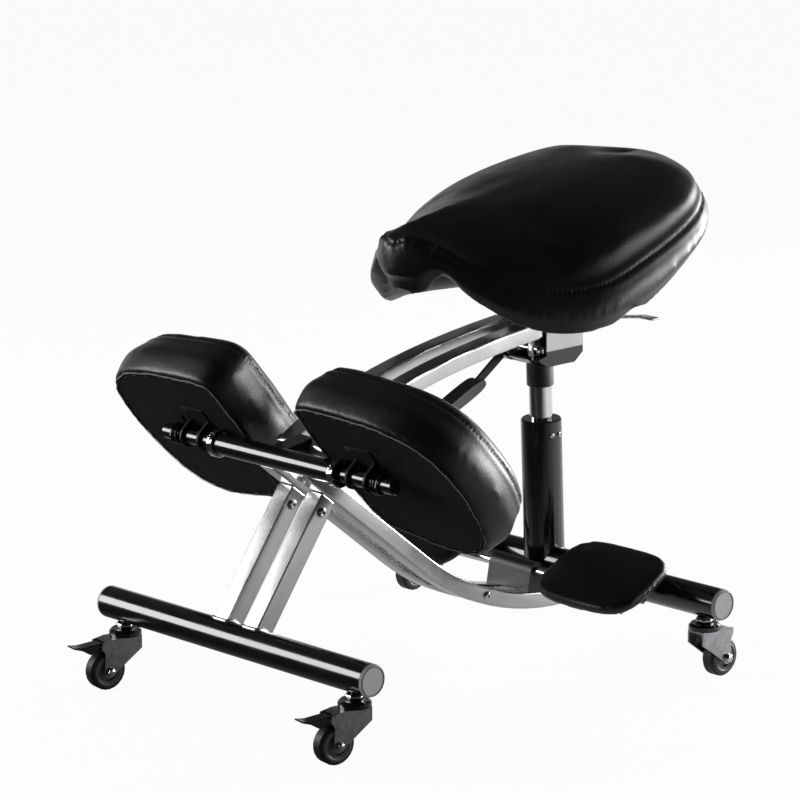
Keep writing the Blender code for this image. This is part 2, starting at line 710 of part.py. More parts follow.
def build_yoke(along, pivot):
    # a plate on the arcs' rear ends, with two slotted lugs for the bracket's pin
    up = left_of(along)
    middle = ARC_END + along * (CLEARANCE + YOKE_PLATE / 2)
    width = SIDE_SPACING + ARC_WIDTH - 2 * EDGE_ROUND
    spot = frame_of((0, *middle), X_AXIS, (0, *up))
    cheek = block((width, ARC_HEIGHT - EDGE_ROUND, YOKE_PLATE))
    yoke = add("arc_yoke", "silver_enamel", cheek, spot, pivot)
    radial = (PIN - HINGE).normalized()
    cross = left_of(radial)
    slot_half = PIN_RADIUS + SLOT_SIDE_GAP
    rim = slot_half + LUG_WALL
    front = PIN - radial * SLOT_AHEAD
    rear = PIN + radial * SLOT_BEHIND
    angle = heading(radial)
    root = ARC_END + along * (CLEARANCE + YOKE_PLATE * 0.25)
    outline = arc_points(rear, rim, angle - 90, angle + 75, 8)
    outline += [root + along * YOKE_PLATE * 3 + up * ARC_HEIGHT * 0.35, root + up * ARC_HEIGHT * 0.35,
                root - up * (ARC_HEIGHT / 2 + CLEARANCE), front + cross * rim * 0.4 - radial * rim]
    outline += arc_points(front, rim, angle + 200, angle + 270, 4)
    slot = arc_points(rear, slot_half, angle - 90, angle + 90, 8)
    slot += arc_points(front, slot_half, angle + 90, angle + 270, 8)
    for side, sign in SIDES:
        lug = cutter(f"{side}_lug", plate(outline, LUG_THICKNESS), side_view(sign * LUG_OFFSET))
        boolean(yoke, lug, "UNION")
    boolean(yoke, cutter("lug_slot", plate(slot, SIDE_SPACING * 2), side_view()))


# Gas lift

def build_gas_lift():
    spot = turned_about(on_column(0), COLUMN_AXIS)
    top = COLUMN_LENGTH
    inner = COLUMN_RADIUS - COLUMN_WALL
    bore = ROD_RADIUS + RUNNING_GAP
    column = turned([(COLUMN_RADIUS - COLUMN_ROUND, top),
                     (COLUMN_RADIUS, top - COLUMN_ROUND), (COLUMN_RADIUS, 0),
                     (inner, 0), (inner, top - COLUMN_LIP), (bore, top - COLUMN_LIP), (bore, top)])
    tube = add("gas_column", "black_enamel", column, spot)
    boolean(tube, bpy.data.objects["cut_rear_tube_seat"])
    below = block((COLUMN_RADIUS * 4, COLUMN_RADIUS * 4, COLUMN_RADIUS))
    foot = Vector((0, REAR_TUBE.x, REAR_TUBE.y + COLUMN_SKIRT - COLUMN_RADIUS / 2))
    boolean(tube, cutter("column_foot", below, Matrix.Translation(foot)))

    collar_foot = top + ROD_SHOWN
    neck = collar_foot + COLLAR_STEP
    low = top - ROD_INSIDE
    crown = BRACKET_FLOOR + TAPER_RISE
    rod = turned([(0, crown + VALVE_LENGTH), (VALVE_RADIUS, crown + VALVE_LENGTH), (VALVE_RADIUS, crown),
                  (TAPER_RADIUS - TAPER_DRAFT, crown), (TAPER_RADIUS, neck), (ROD_RADIUS, neck),
                  (ROD_RADIUS, low + TAPER_DRAFT), (ROD_RADIUS - TAPER_DRAFT, low), (0, low)])
    add("piston_rod", "chrome", rod, spot)
    # the bracket's floor is level, so the leaning collar stops short of it
    collar_top = BRACKET_FLOOR - CLEARANCE - TAPER_COLLAR_RADIUS * math.tan(math.radians(COLUMN_LEAN))
    narrow, wide = TAPER_RADIUS + CLEARANCE, ROD_RADIUS + CLEARANCE
    collar = turned([(TAPER_COLLAR_RADIUS, collar_top), (TAPER_COLLAR_RADIUS, collar_foot + COLLAR_ROUND),
                     (TAPER_COLLAR_RADIUS - COLLAR_ROUND, collar_foot), (wide, collar_foot),
                     (wide, neck + CLEARANCE), (narrow, neck + CLEARANCE), (narrow, collar_top)])
    add("taper_collar", "black_plastic", collar, spot)


# Seat bracket, board, saddle and levers

def build_bracket():
    floor = SEAT_POINT.y
    front, rear = SEAT_POINT.x - BRACKET_AHEAD, SEAT_POINT.x + BRACKET_BEHIND
    lip = SEAT_POINT.x - BRACKET_LIP
    rim = floor + BRACKET_DISH
    drop = BOARD_THICKNESS + 2 * CLEARANCE
    wall_drop = (drop + FLANGE_THICKNESS / 2) / math.cos(SEAT_TILT)
    outline = [(lip, rim - BRACKET_WALL), (lip + DISH_RUN, floor), (rear - DISH_RUN, floor), (rear, rim),
               (rear, seat_plane(rear) - wall_drop), (front, seat_plane(front) - wall_drop),
               (front, rim + BRACKET_WALL), (lip, rim)]
    bracket = add("seat_bracket", "silver_enamel", plate(outline, 2 * BRACKET_HALF_WIDTH), side_view())
    inside = BRACKET_HALF_WIDTH - BRACKET_WALL
    above = seat_plane(rear)
    inner_floor = floor + BRACKET_WALL
    hollow = [(lip - DISH_RUN, rim), (lip, rim),
              (lip + DISH_RUN, inner_floor), (rear - DISH_RUN, inner_floor),
              (rear - BRACKET_WALL, rim), (rear - BRACKET_WALL, above), (lip - DISH_RUN, above)]
    boolean(bracket, cutter("bracket_hollow", plate(hollow, 2 * inside), side_view()))
    middle = (front + rear) / 2
    flange_spot = seat_frame(middle, drop + FLANGE_THICKNESS / 2)
    flange = block((FLANGE_WIDTH, FLANGE_LENGTH, FLANGE_THICKNESS))
    boolean(bracket, cutter("bracket_flange", flange, flange_spot), "UNION")
    socket = cylinder(TAPER_RADIUS + CLEARANCE, 2 * BRACKET_DISH, ROUND_SIDES)
    boolean(bracket, cutter("taper_socket", socket, turned_about(on_column(BRACKET_FLOOR), COLUMN_AXIS)))
    notch_end = lip + DISH_RUN * 1.1
    notch = block((LUG_THICKNESS + 2 * LUG_NOTCH_GAP, 2 * DISH_RUN, 4 * BRACKET_DISH))
    for side, sign in SIDES:
        notch_spot = Matrix.Translation((sign * LUG_OFFSET, notch_end - DISH_RUN, floor))
        boolean(bracket, cutter(f"{side}_lug_notch", notch, notch_spot))
    window = block((4 * BRACKET_WALL, LEVER_WIDTH + 2 * LEVER_GAP, LEVER_THICKNESS + 2 * LEVER_GAP))
    boolean(bracket, cutter("lever_window", window, Matrix.Translation(lever_pivot())))
    eye = cylinder(TILT_PIN_RADIUS + RUNNING_GAP, 4 * BRACKET_WALL)
    boolean(bracket, cutter("tilt_bore", eye, along_x(TILT_EYE, -BRACKET_HALF_WIDTH)))
    add("bracket_pin", "chrome", cylinder(PIN_RADIUS, 2 * (inside - CLEARANCE)), along_x(PIN))

    loop = superellipse(BOARD_HALF_WIDTH, BOARD_HALF_LENGTH, BOARD_CORNER, 32)
    spot = seat_frame(SEAT_POINT.x + BOARD_BEHIND, BOARD_THICKNESS / 2 + CLEARANCE)
    add("seat_board", "black_board", plate(loop, BOARD_THICKNESS), spot)


def crown_rise(share, fullness):
    # share of a crown's height at a share of the way in from its edge
    return (1 - (1 - share) ** fullness) ** (1 / fullness)


def ridge_height(back):
    # the saddle's middle line, eased between its stations
    for (start, low), (stop, high) in zip(SADDLE_RIDGE, SADDLE_RIDGE[1:]):
        if back <= stop:
            return low + (high - low) * max(back - start, 0) / (stop - start)
    return SADDLE_RIDGE[-1][1]


def build_saddle():
    stations = list(SADDLE_EDGE) + [(-x, *rest) for x, *rest in SADDLE_EDGE[-2:0:-1]]
    edge = counter_clockwise(smooth_curve(stations, SADDLE_STEPS))
    plan = [station[:2] for station in edge]
    swollen = grown(plan, SADDLE_BULGE)
    tucked = grown(plan, -SADDLE_TUCK)
    nose, tail = SADDLE_EDGE[0][1], SADDLE_EDGE[-1][1]
    rings = [[] for _ in range(6 + len(CROWN_SHARES))]

    def put(ring_index, across, back, height):
        at = SEAT_POINT.x + back
        rings[ring_index].append((across, at, seat_plane(at) + height))

    for (x, back, seam, low), fat, thin in zip(edge, swollen, tucked):
        share = (back - nose) / (tail - nose)
        spine = SADDLE_RIDGE[0][0] + share * (SADDLE_RIDGE[-1][0] - SADDLE_RIDGE[0][0])
        peak = ridge_height(spine)
        flat = SADDLE_FLAT[0] + share * (SADDLE_FLAT[1] - SADDLE_FLAT[0])
        put(0, 0.0, flat, 0.0)
        put(1, thin[0] * 0.75, thin[1] * 0.75 + flat * 0.25, max(low * 0.9, 0.0))
        put(2, *thin, low)
        put(3, *fat, seam * 0.45 + low * 0.55)
        put(4, x, back, seam)
        fullness = SADDLE_ROUND[0] + min(2 * share, 1) * (SADDLE_ROUND[1] - SADDLE_ROUND[0])
        for k, t in enumerate(CROWN_SHARES):
            rise = (peak - seam) * crown_rise(t, fullness)
            put(5 + k, x * (1 - t), back + (spine - back) * t, seam + rise)
        put(5 + len(CROWN_SHARES), 0.0, spine, peak)
    add("saddle_cushion", "black_leather", loft(rings))


def lever_pivot():
    valve = on_column(BRACKET_FLOOR + TAPER_RISE + VALVE_LENGTH)
    return Vector((BRACKET_HALF_WIDTH - BRACKET_WALL / 2, valve.y + LEVER_BEHIND,
                   valve.z + VALVE_GAP + LEVER_THICKNESS / 2))


def build_height_lever():
    pivot = lever_pivot()
    half = LEVER_THICKNESS / 2
    inner = -VALVE_RADIUS - pivot.x
    elbow = 4 * BRACKET_WALL
    tip = LEVER_REACH - pivot.x
    run = tip - LEVER_TIP
    outline = [(inner, -half), (elbow, -half), (run, LEVER_RISE - half), (tip, LEVER_RISE - half),
               (tip, LEVER_RISE + half), (run, LEVER_RISE + half), (elbow, half), (inner, half)]
    lever = add("height_lever", "zinc", plate(outline, LEVER_WIDTH), frame_of(pivot, X_AXIS, Z_AXIS), pivot)
    soften(lever, LEVER_THICKNESS / 4, 1)


def build_tilt_lever():
    knee = TILT_EYE + Vector(TILT_BAR)
    tip = knee + Vector(TILT_GRIP)
    across = -(BRACKET_HALF_WIDTH + CLEARANCE + TILT_BAR_THICKNESS / 2)
    along = Vector(TILT_BAR).normalized()
    side = left_of(along) * TILT_BAR_WIDTH / 2
    angle = heading(along)
    outline = arc_points(TILT_EYE, TILT_EYE_RADIUS, angle + 50, angle + 310, 10)
    outline += [knee - side, knee + side]
    pivot = Vector((0, *TILT_EYE))
    lever = add("tilt_lever", "black_enamel", plate(outline, TILT_BAR_THICKNESS), side_view(across), pivot)
    stub = BRACKET_WALL + TILT_BAR_THICKNESS
    pin_spot = along_x(TILT_EYE, across + TILT_BAR_THICKNESS / 2 - TILT_BAR_THICKNESS * 0.75 + stub / 2)
    boolean(lever, cutter("tilt_pin", cylinder(TILT_PIN_RADIUS, stub), pin_spot), "UNION")
    reach = Vector(TILT_GRIP)
    loop = superellipse(reach.length / 2 + GRIP_END, GRIP_THICKNESS / 2, GRIP_CORNER, 20)
    grip_spot = frame_of((across, *((knee + tip) / 2)), (0, *reach.normalized()), (0, *left_of(reach)))
    grip = add("tilt_lever_grip", "black_plastic", plate(loop, GRIP_WIDTH), grip_spot, pivot)
    rim = side + left_of(along) * CLEARANCE
    stop = knee + along * CLEARANCE
    start = TILT_EYE + Vector(TILT_BAR) / 2
    socket = plate([start - rim, stop - rim, stop + rim, start + rim], TILT_BAR_THICKNESS + 2 * CLEARANCE)
    boolean(grip, cutter("grip_socket", socket, side_view(across)))


# Knee pads

def knee_frame():
    # x across, y down the slope, z out of the pad, from the shaft's axis
    slope = math.radians(PAD_SLOPE)
    return frame_of((0, *KNEE_AXIS), X_AXIS, (0, math.cos(slope), -math.sin(slope)))


def ear_start():
    return KNEE_BAR_LENGTH / 2 + EAR_OFFSET


def spring_start():
    return ear_start() + EAR_SPAN + SPRING_OFFSET


def pad_loop(sign, distance):
    loop = smooth_curve(PAD_EDGE, PAD_STEPS)
    return grown(counter_clockwise([(sign * x, y) for x, y in loop]), distance)


def cushion(loop, height, crown, bulge):
    # crowned pad over a loop, its sides swollen between the lower edge and the seam
    count = len(loop)
    middle = (sum(p[0] for p in loop) / count, sum(p[1] for p in loop) / count)
    seam = grown(loop, bulge * 0.4)
    rings = [[(*middle, 0)] * count,
             [(*p, 0) for p in grown(loop, -bulge / 2)],
             [(*p, height * 0.12) for p in loop],
             [(*p, height * 0.50) for p in grown(loop, bulge)],
             [(*p, height) for p in seam]]
    for t in CROWN_SHARES:
        rise = height + crown * crown_rise(t, PAD_ROUND)
        rings.append([(p[0] + (middle[0] - p[0]) * t, p[1] + (middle[1] - p[1]) * t, rise) for p in seam])
    rings.append([(*middle, height + crown)] * count)
    return loft(rings)


def build_knee_pads():
    frame = knee_frame()
    pivot = Vector((0, *KNEE_AXIS))
    board_spot = frame @ Matrix.Translation((0, 0, PAD_STANDOFF + PAD_BOARD_THICKNESS / 2))
    pad_spot = frame @ Matrix.Translation((0, 0, PAD_STANDOFF + CLEARANCE))
    for side, sign in SIDES:
        board = plate(pad_loop(sign, -PAD_SKIRT - CLEARANCE), PAD_BOARD_THICKNESS)
        add(f"{side}_knee_board", "black_board", board, board_spot, pivot)
        pad = cushion(pad_loop(sign, 0), PAD_HEIGHT, PAD_CROWN, PAD_BULGE)
        soft = add(f"{side}_knee_cushion", "black_leather", pad, pad_spot, pivot)
        recess = plate(pad_loop(sign, -PAD_SKIRT), PAD_BOARD_THICKNESS + 2 * CLEARANCE)
        boolean(soft, cutter(f"{side}_board_recess", recess, board_spot))
        build_knee_bracket(side, sign, frame.to_3x3(), pivot)


def eared_plate(obj, name, axis_spot, top, ears, thickness, radius, bore):
    # ears join a plate to a shaft, drawn as (along the slope, out of the pad) from the shaft's axis
    outline = arc_points((0, 0), radius, 180, 360, 10) + [(radius, top), (-radius, top)]
    for i, offset in enumerate(ears):
        shift = Matrix.Translation((0, 0, offset))
        boolean(obj, cutter(f"{name}_ear_{i}", plate(outline, thickness), axis_spot @ shift), "UNION")
    hole = cylinder(bore, 4 * max(ears), ROUND_SIDES)
    boolean(obj, cutter(f"{name}_bore", hole, axis_spot))


def build_knee_bracket(side, sign, rows, pivot):
    middle = sign * (ear_start() + EAR_SPAN / 2)
    spot = frame_of((middle, *KNEE_AXIS), rows @ Y_AXIS, rows @ Z_AXIS)
    half = KNEE_PLATE_THICKNESS / 2
    base = block((2 * KNEE_PLATE_HALF, KNEE_PLATE_THICKNESS, EAR_SPAN + 2 * KNEE_PLATE_LIP))
    level = PAD_STANDOFF - CLEARANCE - half
    bracket = add(f"{side}_knee_bracket", "zinc", base, spot @ Matrix.Translation((0, level, 0)), pivot)
    ear = (EAR_SPAN - EAR_THICKNESS) / 2
    eared_plate(bracket, f"{side}_knee", spot, level, (-ear, ear), EAR_THICKNESS, EAR_RADIUS,
                KNEE_SHAFT_RADIUS + RUNNING_GAP)


def spring_points(sign):
    # coil round the shaft, with a leg along the pad at each end
    rows = knee_frame().to_3x3()
    down, out = rows @ Y_AXIS, rows @ Z_AXIS
    radius = KNEE_SHAFT_RADIUS + SPRING_COIL
    places = []
    for i in range(SPRING_TURNS * POINTS_PER_TURN + 1):
        angle = 2 * math.pi * i / POINTS_PER_TURN
        across = sign * (spring_start() + SPRING_PITCH * i / POINTS_PER_TURN)
        around = out * math.cos(angle) + down * math.sin(angle)
        places.append(Vector((across, *KNEE_AXIS)) + around * radius)
    return [places[0] - down * SPRING_LEG] + places + [places[-1] + down * SPRING_LEG]


def self_gap(places, radius):
    # least clear distance between turns, with half a turn of neighbours left out
    least = math.inf
    for i, here in enumerate(places):
        for j in range(i + POINTS_PER_TURN // 2, len(places) - 1):
            start, run = places[j], places[j + 1] - places[j]
            t = min(max((here - start).dot(run) / run.length_squared, 0), 1)
            least = min(least, (here - start - run * t).length)
    return least - 2 * radius


def build_knee_springs():
    for side, sign in SIDES:
        places = spring_points(sign)
        print(f"{side}_knee_spring least gap to itself: {self_gap(places, SPRING_WIRE) * 1000:.2f} mm")
        coil = wire(places, SPRING_WIRE)
        add(f"{side}_knee_spring", "spring_steel", coil, IDENTITY, Vector((0, *KNEE_AXIS)))


# Foot bar and foot pads

def build_foot_bar():
    half = FOOT_CENTRE + FOOT_EAR_SPAN / 2 + FOOT_BAR_OVERHANG
    rim = FOOT_BAR_RADIUS - FOOT_BAR_ROUND
    bar = turned([(0, half), (rim, half), (FOOT_BAR_RADIUS, half - FOOT_BAR_ROUND),
                  (FOOT_BAR_RADIUS, FOOT_BAR_ROUND - half), (rim, -half), (0, -half)], SMALL_SIDES)
    add("foot_bar", "chrome", bar, along_x(FOOT_AXIS))
    inner = LOWER_ARC_RADIUS - ARC_HEIGHT / 2 - CLEARANCE
    spread = math.degrees(CLAMP_LENGTH / 2 / inner)
    middle = 270 - math.degrees(FOOT_ANGLE)
    outline = arc_points(LOWER_ARC_CENTRE, inner, middle - spread, middle + spread, 4)
    outline += arc_points(FOOT_AXIS, CLAMP_RADIUS, 0, 180, 10)
    width = SIDE_SPACING + ARC_WIDTH - 2 * CLAMP_INSET
    clamp = add("foot_bar_clamp", "black_plastic", plate(outline, width), side_view())
    bore = cylinder(FOOT_BAR_RADIUS + CLEARANCE, 2 * width, ROUND_SIDES)
    boolean(clamp, cutter("clamp_bore", bore, along_x(FOOT_AXIS)))


def build_foot_pads():
    slope = math.radians(FOOT_SLOPE)
    pivot = Vector((0, *FOOT_AXIS))
    top = FOOT_STANDOFF + FOOT_PLATE_THICKNESS
    half_x = FOOT_HALF_WIDTH - FOOT_PLATE_INSET
    half_y = FOOT_HALF_LENGTH - FOOT_PLATE_INSET
    level = FOOT_STANDOFF + FOOT_PLATE_THICKNESS / 2
    ear = (FOOT_EAR_SPAN - FOOT_EAR_THICKNESS) / 2
    loop = superellipse(FOOT_HALF_WIDTH - FOOT_BULGE, FOOT_HALF_LENGTH - FOOT_BULGE, FOOT_CORNER, 32)
    pad = cushion(loop, FOOT_PAD_HEIGHT, FOOT_CROWN, FOOT_BULGE)
    for side, sign in SIDES:
        frame = frame_of((sign * FOOT_CENTRE, *FOOT_AXIS), X_AXIS, (0, math.cos(slope), math.sin(slope)))
        rows = frame.to_3x3()
        spot = frame_of(frame.translation, rows @ Y_AXIS, rows @ Z_AXIS)
        sheet = block((2 * half_y, FOOT_PLATE_THICKNESS, 2 * half_x))
        base_spot = spot @ Matrix.Translation((0, level, 0))
        base = add(f"{side}_foot_plate", "black_enamel", sheet, base_spot, pivot)
        eared_plate(base, f"{side}_foot", spot, level, (-ear, ear), FOOT_EAR_THICKNESS, FOOT_EAR_RADIUS,
                    FOOT_BAR_RADIUS + RUNNING_GAP)
        pad_spot = frame @ Matrix.Translation((0, 0, top + CLEARANCE))
        add(f"{side}_foot_cushion", "black_leather", pad, pad_spot, pivot)


# Casters

def stem_mesh():
    bottom = FORK_TOP + CLEARANCE
    under = TUBE_UNDERSIDE - CLEARANCE
    top = TUBE_UNDERSIDE + TUBE_WALL + STEM_TAIL
    bevel = RACE_HEIGHT / 3
    return turned([(0, top), (STEM_RADIUS, top), (STEM_RADIUS, under), (STEM_NUT_RADIUS, under),
                   (STEM_NUT_RADIUS, RACE_TOP), (RACE_RADIUS - bevel, RACE_TOP),
                   (RACE_RADIUS, RACE_TOP - bevel),
                   (RACE_RADIUS, bottom), (0, bottom)], 18)


def fork_outline():
    # drawn as (along the trail, up)
    back = RACE_RADIUS * 0.8
    nose = CASTER_TRAIL + FORK_NOSE
    outline = [(-back, FORK_TOP), (-back, FORK_TOP - FORK_HEADROOM)]
    outline += arc_points((CASTER_TRAIL, WHEEL_RADIUS), FORK_BOSS_RADIUS, 205, 365, 8)
    shoulder = FORK_TOP - FORK_SHOULDER
    outline += [(nose - FORK_SHOULDER / 2, shoulder - FORK_SHOULDER), (nose, shoulder),
                (nose, FORK_TOP - FORK_SHOULDER / 3), (nose - FORK_SHOULDER * 1.7, FORK_TOP)]
    return outline


def wheel_meshes():
    half = WHEEL_WIDTH / 2
    facet = 1 / math.cos(math.pi / ROUND_SIDES)
    tread = WHEEL_RADIUS * facet
    rim = WHEEL_RADIUS - TYRE_DEPTH
    side = half - TYRE_SHOULDER
    wall = tread - TYRE_SHOULDER
    tyre = turned([(wall, half), (tread, side), (tread, -side), (wall, -half), (rim, -half), (rim, half)])
    bore = AXLE_RADIUS + RUNNING_GAP
    face = half - HUB_INSET
    web = HUB_WEB / 2
    edge = (rim - CLEARANCE) / facet
    hub = turned([(edge, face), (edge, -face), (edge - HUB_WALL, -face), (edge - HUB_WALL, -web),
                  (bore, -web), (bore, web), (edge - HUB_WALL, web), (edge - HUB_WALL, face)])
    return tyre, hub


def axle_mesh(outer):
    # riveted heads sunk a little into the cheeks, so that axle and fork are one piece
    seat = outer - FORK_SHEET / 2
    head = outer + AXLE_HEAD
    brim = outer + AXLE_HEAD * 0.4
    crown = AXLE_HEAD_RADIUS * 0.7
    half = [(0, head), (crown, head), (AXLE_HEAD_RADIUS, brim), (AXLE_HEAD_RADIUS, seat), (AXLE_RADIUS, seat)]
    return turned(half + [(radius, -along) for radius, along in reversed(half)], SMALL_SIDES)


def build_casters():
    inside = WHEEL_WIDTH / 2 + WHEEL_GAP
    cheek = inside + FORK_SHEET
    tyre, hub = wheel_meshes()
    half_facet = Matrix.Rotation(math.pi / ROUND_SIDES, 4, "Z")
    turns = {"front": FRONT_CASTER_TURN, "rear": REAR_CASTER_TURN}
    for row, side, sign, place, length in tube_ends():
        name = f"{row}_{side}"
        stem = Vector((sign * (length / 2 - STEM_INSET), place.x, 0))
        spot = Matrix.Translation(stem) @ Matrix.Rotation(math.radians(turns[row]), 4, "Z")
        view = spot @ frame_of((0, 0, 0), -Y_AXIS, Z_AXIS)
        wheel = spot @ turned_about((0, -CASTER_TRAIL, WHEEL_RADIUS), X_AXIS) @ half_facet
        add(f"{name}_stem", "black_enamel", stem_mesh(), spot)
        fork = add(f"{name}_fork", "zinc", plate(fork_outline(), 2 * cheek), view, stem)
        gap = block((8 * CASTER_TRAIL, FORK_TOP, 2 * inside))
        lower = Matrix.Translation((0, FORK_TOP / 2 - FORK_SHEET, 0))
        boolean(fork, cutter(f"{name}_fork_gap", gap, view @ lower))
        boolean(fork, cutter(f"{name}_axle", axle_mesh(cheek), wheel), "UNION")
        add(f"{name}_tyre", "rubber", tyre, wheel, wheel.translation)
        add(f"{name}_hub", "grey_plastic", hub, wheel, wheel.translation)
        if row == "front":
            build_pedal(name, view)


def build_pedal(name, view):
    # a rocking plate under the fork's top with a shoe in front of the tyre
    top = FORK_TOP - FORK_SHEET - 4 * CLEARANCE
    tail = CASTER_TRAIL - PEDAL_TAIL
    tip = CASTER_TRAIL + PEDAL_REACH
    shoe = CASTER_TRAIL + WHEEL_RADIUS / 2
    sole = top - PEDAL_SHOE
    dip = top - PEDAL_SHEET / 2
    outline = [(tail, top - PEDAL_SHEET), (tail, top), (shoe, top), (tip - PEDAL_SHOE, dip), (tip, top),
               (tip, dip), (tip - PEDAL_SHOE, top - PEDAL_SHEET * 1.6), (shoe + PEDAL_SHOE, sole),
               (shoe + PEDAL_SHEET, sole), (shoe, top - PEDAL_SHEET)]
    pivot = view @ Vector((CASTER_TRAIL, top - PEDAL_SHEET / 2, 0))
    pedal = add(f"{name}_brake_pedal", "black_enamel", plate(outline, PEDAL_WIDTH), view, pivot)
    soften(pedal, PEDAL_SHEET / 4, 1)


def centre_on_origin():
    # the middle of the chair's footprint stands over the origin
    bpy.context.view_layer.update()
    graph = bpy.context.evaluated_depsgraph_get()
    backs = []
    for obj in bpy.data.collections[PARTS].objects:
        if obj.type == "MESH":
            shape = obj.evaluated_get(graph)
            backs += [(shape.matrix_world @ vertex.co).y for vertex in shape.data.vertices]
    root = bpy.data.objects[ROOT]
    root.location.y = -(min(backs) + max(backs)) / 2
    bpy.context.view_layer.update()
    print(f"front tube axis at y = {root.location.y:.6f}")


def main():
    clear_scene()
    build_cross_tubes()
    build_lower_arcs()
    build_knee_bar()
    build_upper_arcs()
    build_gas_lift()
    build_bracket()
    build_saddle()
    build_height_lever()
    build_tilt_lever()
    build_knee_pads()
    build_knee_springs()
    build_foot_bar()
    build_foot_pads()
    build_casters()
    centre_on_origin()


main()
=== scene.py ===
import json
import math

import bmesh
import bpy
import numpy as np
from mathutils import Matrix, Vector, noise
from mathutils.bvhtree import BVHTree
from mathutils.kdtree import KDTree


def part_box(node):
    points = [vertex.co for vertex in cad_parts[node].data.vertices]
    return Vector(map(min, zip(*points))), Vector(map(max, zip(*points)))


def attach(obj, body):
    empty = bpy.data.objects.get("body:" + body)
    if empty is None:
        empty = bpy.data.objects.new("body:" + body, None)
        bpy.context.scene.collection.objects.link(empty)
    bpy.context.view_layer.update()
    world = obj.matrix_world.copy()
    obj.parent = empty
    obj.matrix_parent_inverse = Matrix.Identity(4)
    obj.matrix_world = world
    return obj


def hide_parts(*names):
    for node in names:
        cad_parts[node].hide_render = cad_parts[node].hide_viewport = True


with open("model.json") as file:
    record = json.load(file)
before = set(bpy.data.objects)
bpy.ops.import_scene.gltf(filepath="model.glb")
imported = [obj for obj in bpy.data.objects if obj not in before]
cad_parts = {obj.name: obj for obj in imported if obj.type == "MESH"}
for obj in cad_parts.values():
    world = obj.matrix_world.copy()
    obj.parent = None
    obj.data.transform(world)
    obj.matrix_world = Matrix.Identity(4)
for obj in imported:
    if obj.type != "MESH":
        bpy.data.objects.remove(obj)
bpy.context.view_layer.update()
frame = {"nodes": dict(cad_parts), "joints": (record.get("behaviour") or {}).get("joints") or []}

sides = ("left", "right")  # the sitter's left is +X
casters = ("front_left", "front_right", "rear_left", "rear_right")


def middle(node):
    low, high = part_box(node)
    return (low + high) / 2


# Camera and light

view = {
    "fromFrontTube": (3.1769, -2.8102),  # metres across and back from the front tube's middle
    "height": 1.3422,
    "back": (0.7012, -0.6774, 0.2224),  # from the chair towards the lens
    "lens": 174.5,
    "sensor": 36.0,
}


def makeCamera():
    data = bpy.data.cameras.new("studioCamera")
    data.lens = view["lens"]
    data.sensor_width = view["sensor"]
    data.clip_end = 60
    camera = bpy.data.objects.new("studioCamera", data)
    bpy.context.scene.collection.objects.link(camera)
    across, back = view["fromFrontTube"]
    camera.location = (across, back + middle("front_tube").y, view["height"])
    camera.rotation_mode = "QUATERNION"
    camera.rotation_quaternion = (-Vector(view["back"])).to_track_quat("-Z", "Y")
    bpy.context.scene.camera = camera


lampAim = (0, 0, 0.3)
lamps = {
    # place, size across and up in metres, watts
    "rearSoftbox": ((0.8, 2.6, 0.5), (2.2, 0.7), 108),
    "sideSoftbox": ((2.3, 1.7, 0.6), (0.25, 0.6), 13),
    "frontStrip": ((-2.0, -1.9, 0.95), (1.6, 1.25), 62),
}


def makeLamps():
    for name, (place, size, watts) in lamps.items():
        data = bpy.data.lights.new(name, "AREA")
        data.shape = "RECTANGLE"
        data.size, data.size_y = size
        data.energy = watts
        lamp = bpy.data.objects.new(name, data)
        lamp.visible_camera = False
        lamp.location = place
        lamp.rotation_mode = "QUATERNION"
        lamp.rotation_quaternion = (Vector(lampAim) - Vector(place)).to_track_quat("-Z", "Y")
        bpy.context.scene.collection.objects.link(lamp)


# Nodes

def linear(hexColour):
    parts = [int(hexColour[i:i + 2], 16) / 255 for i in (1, 3, 5)]
    return [c / 12.92 if c <= 0.04045 else ((c + 0.055) / 1.055) ** 2.4 for c in parts] + [1.0]


def perMm(size):
    return 1000 / size  # pattern scale, on coordinates in metres


def addNode(tree, kind, sockets=None, **settings):
    node = tree.nodes.new(kind)
    for key, value in settings.items():
        setattr(node, key, value)
    for key, value in (sockets or {}).items():
        if isinstance(value, bpy.types.NodeSocket):
            tree.links.new(value, node.inputs[key])
        else:
            node.inputs[key].default_value = value
    return node


def makeMaterial(name, patterns, colour, roughness, shader, bumps=()):
    # patterns, sized in mm, give a colour between two tones, a roughness and bumps in metres
    material = bpy.data.materials.new(name)
    material.use_nodes = True
    tree = material.node_tree
    surface = tree.nodes["Principled BSDF"]
    for key, value in shader.items():
        surface.inputs[key].default_value = value
    place = addNode(tree, "ShaderNodeTexCoord").outputs["Object"]
    made = {}
    for key, (kind, size, detail) in patterns.items():
        made[key] = addNode(tree, f"ShaderNodeTex{kind}",
                            {"Vector": place, "Scale": perMm(size), "Detail": detail})
    key, dark, light = colour
    tone = made[key].outputs["Color" if patterns[key][0] == "Voronoi" else "Fac"]
    tint = addNode(tree, "ShaderNodeMix", {0: tone, 6: linear(dark), 7: linear(light)}, data_type="RGBA")
    tree.links.new(tint.outputs[2], surface.inputs["Base Color"])
    key, low, high = roughness
    gloss = addNode(tree, "ShaderNodeMapRange", {"Value": made[key].outputs["Fac"], "From Min": 0.3,
                                                 "From Max": 0.7, "To Min": low, "To Max": high})
    tree.links.new(gloss.outputs["Result"], surface.inputs["Roughness"])
    below = {}
    for key, height in bumps:  # coarsest first, each on top of the one before
        bump = addNode(tree, "ShaderNodeBump", {"Height": made[key].outputs[0], "Strength": 1.0,
                                                "Distance": height, **below})
        below = {"Normal": bump.outputs["Normal"]}
        tree.links.new(bump.outputs["Normal"], surface.inputs["Normal"])
    return material


# Materials

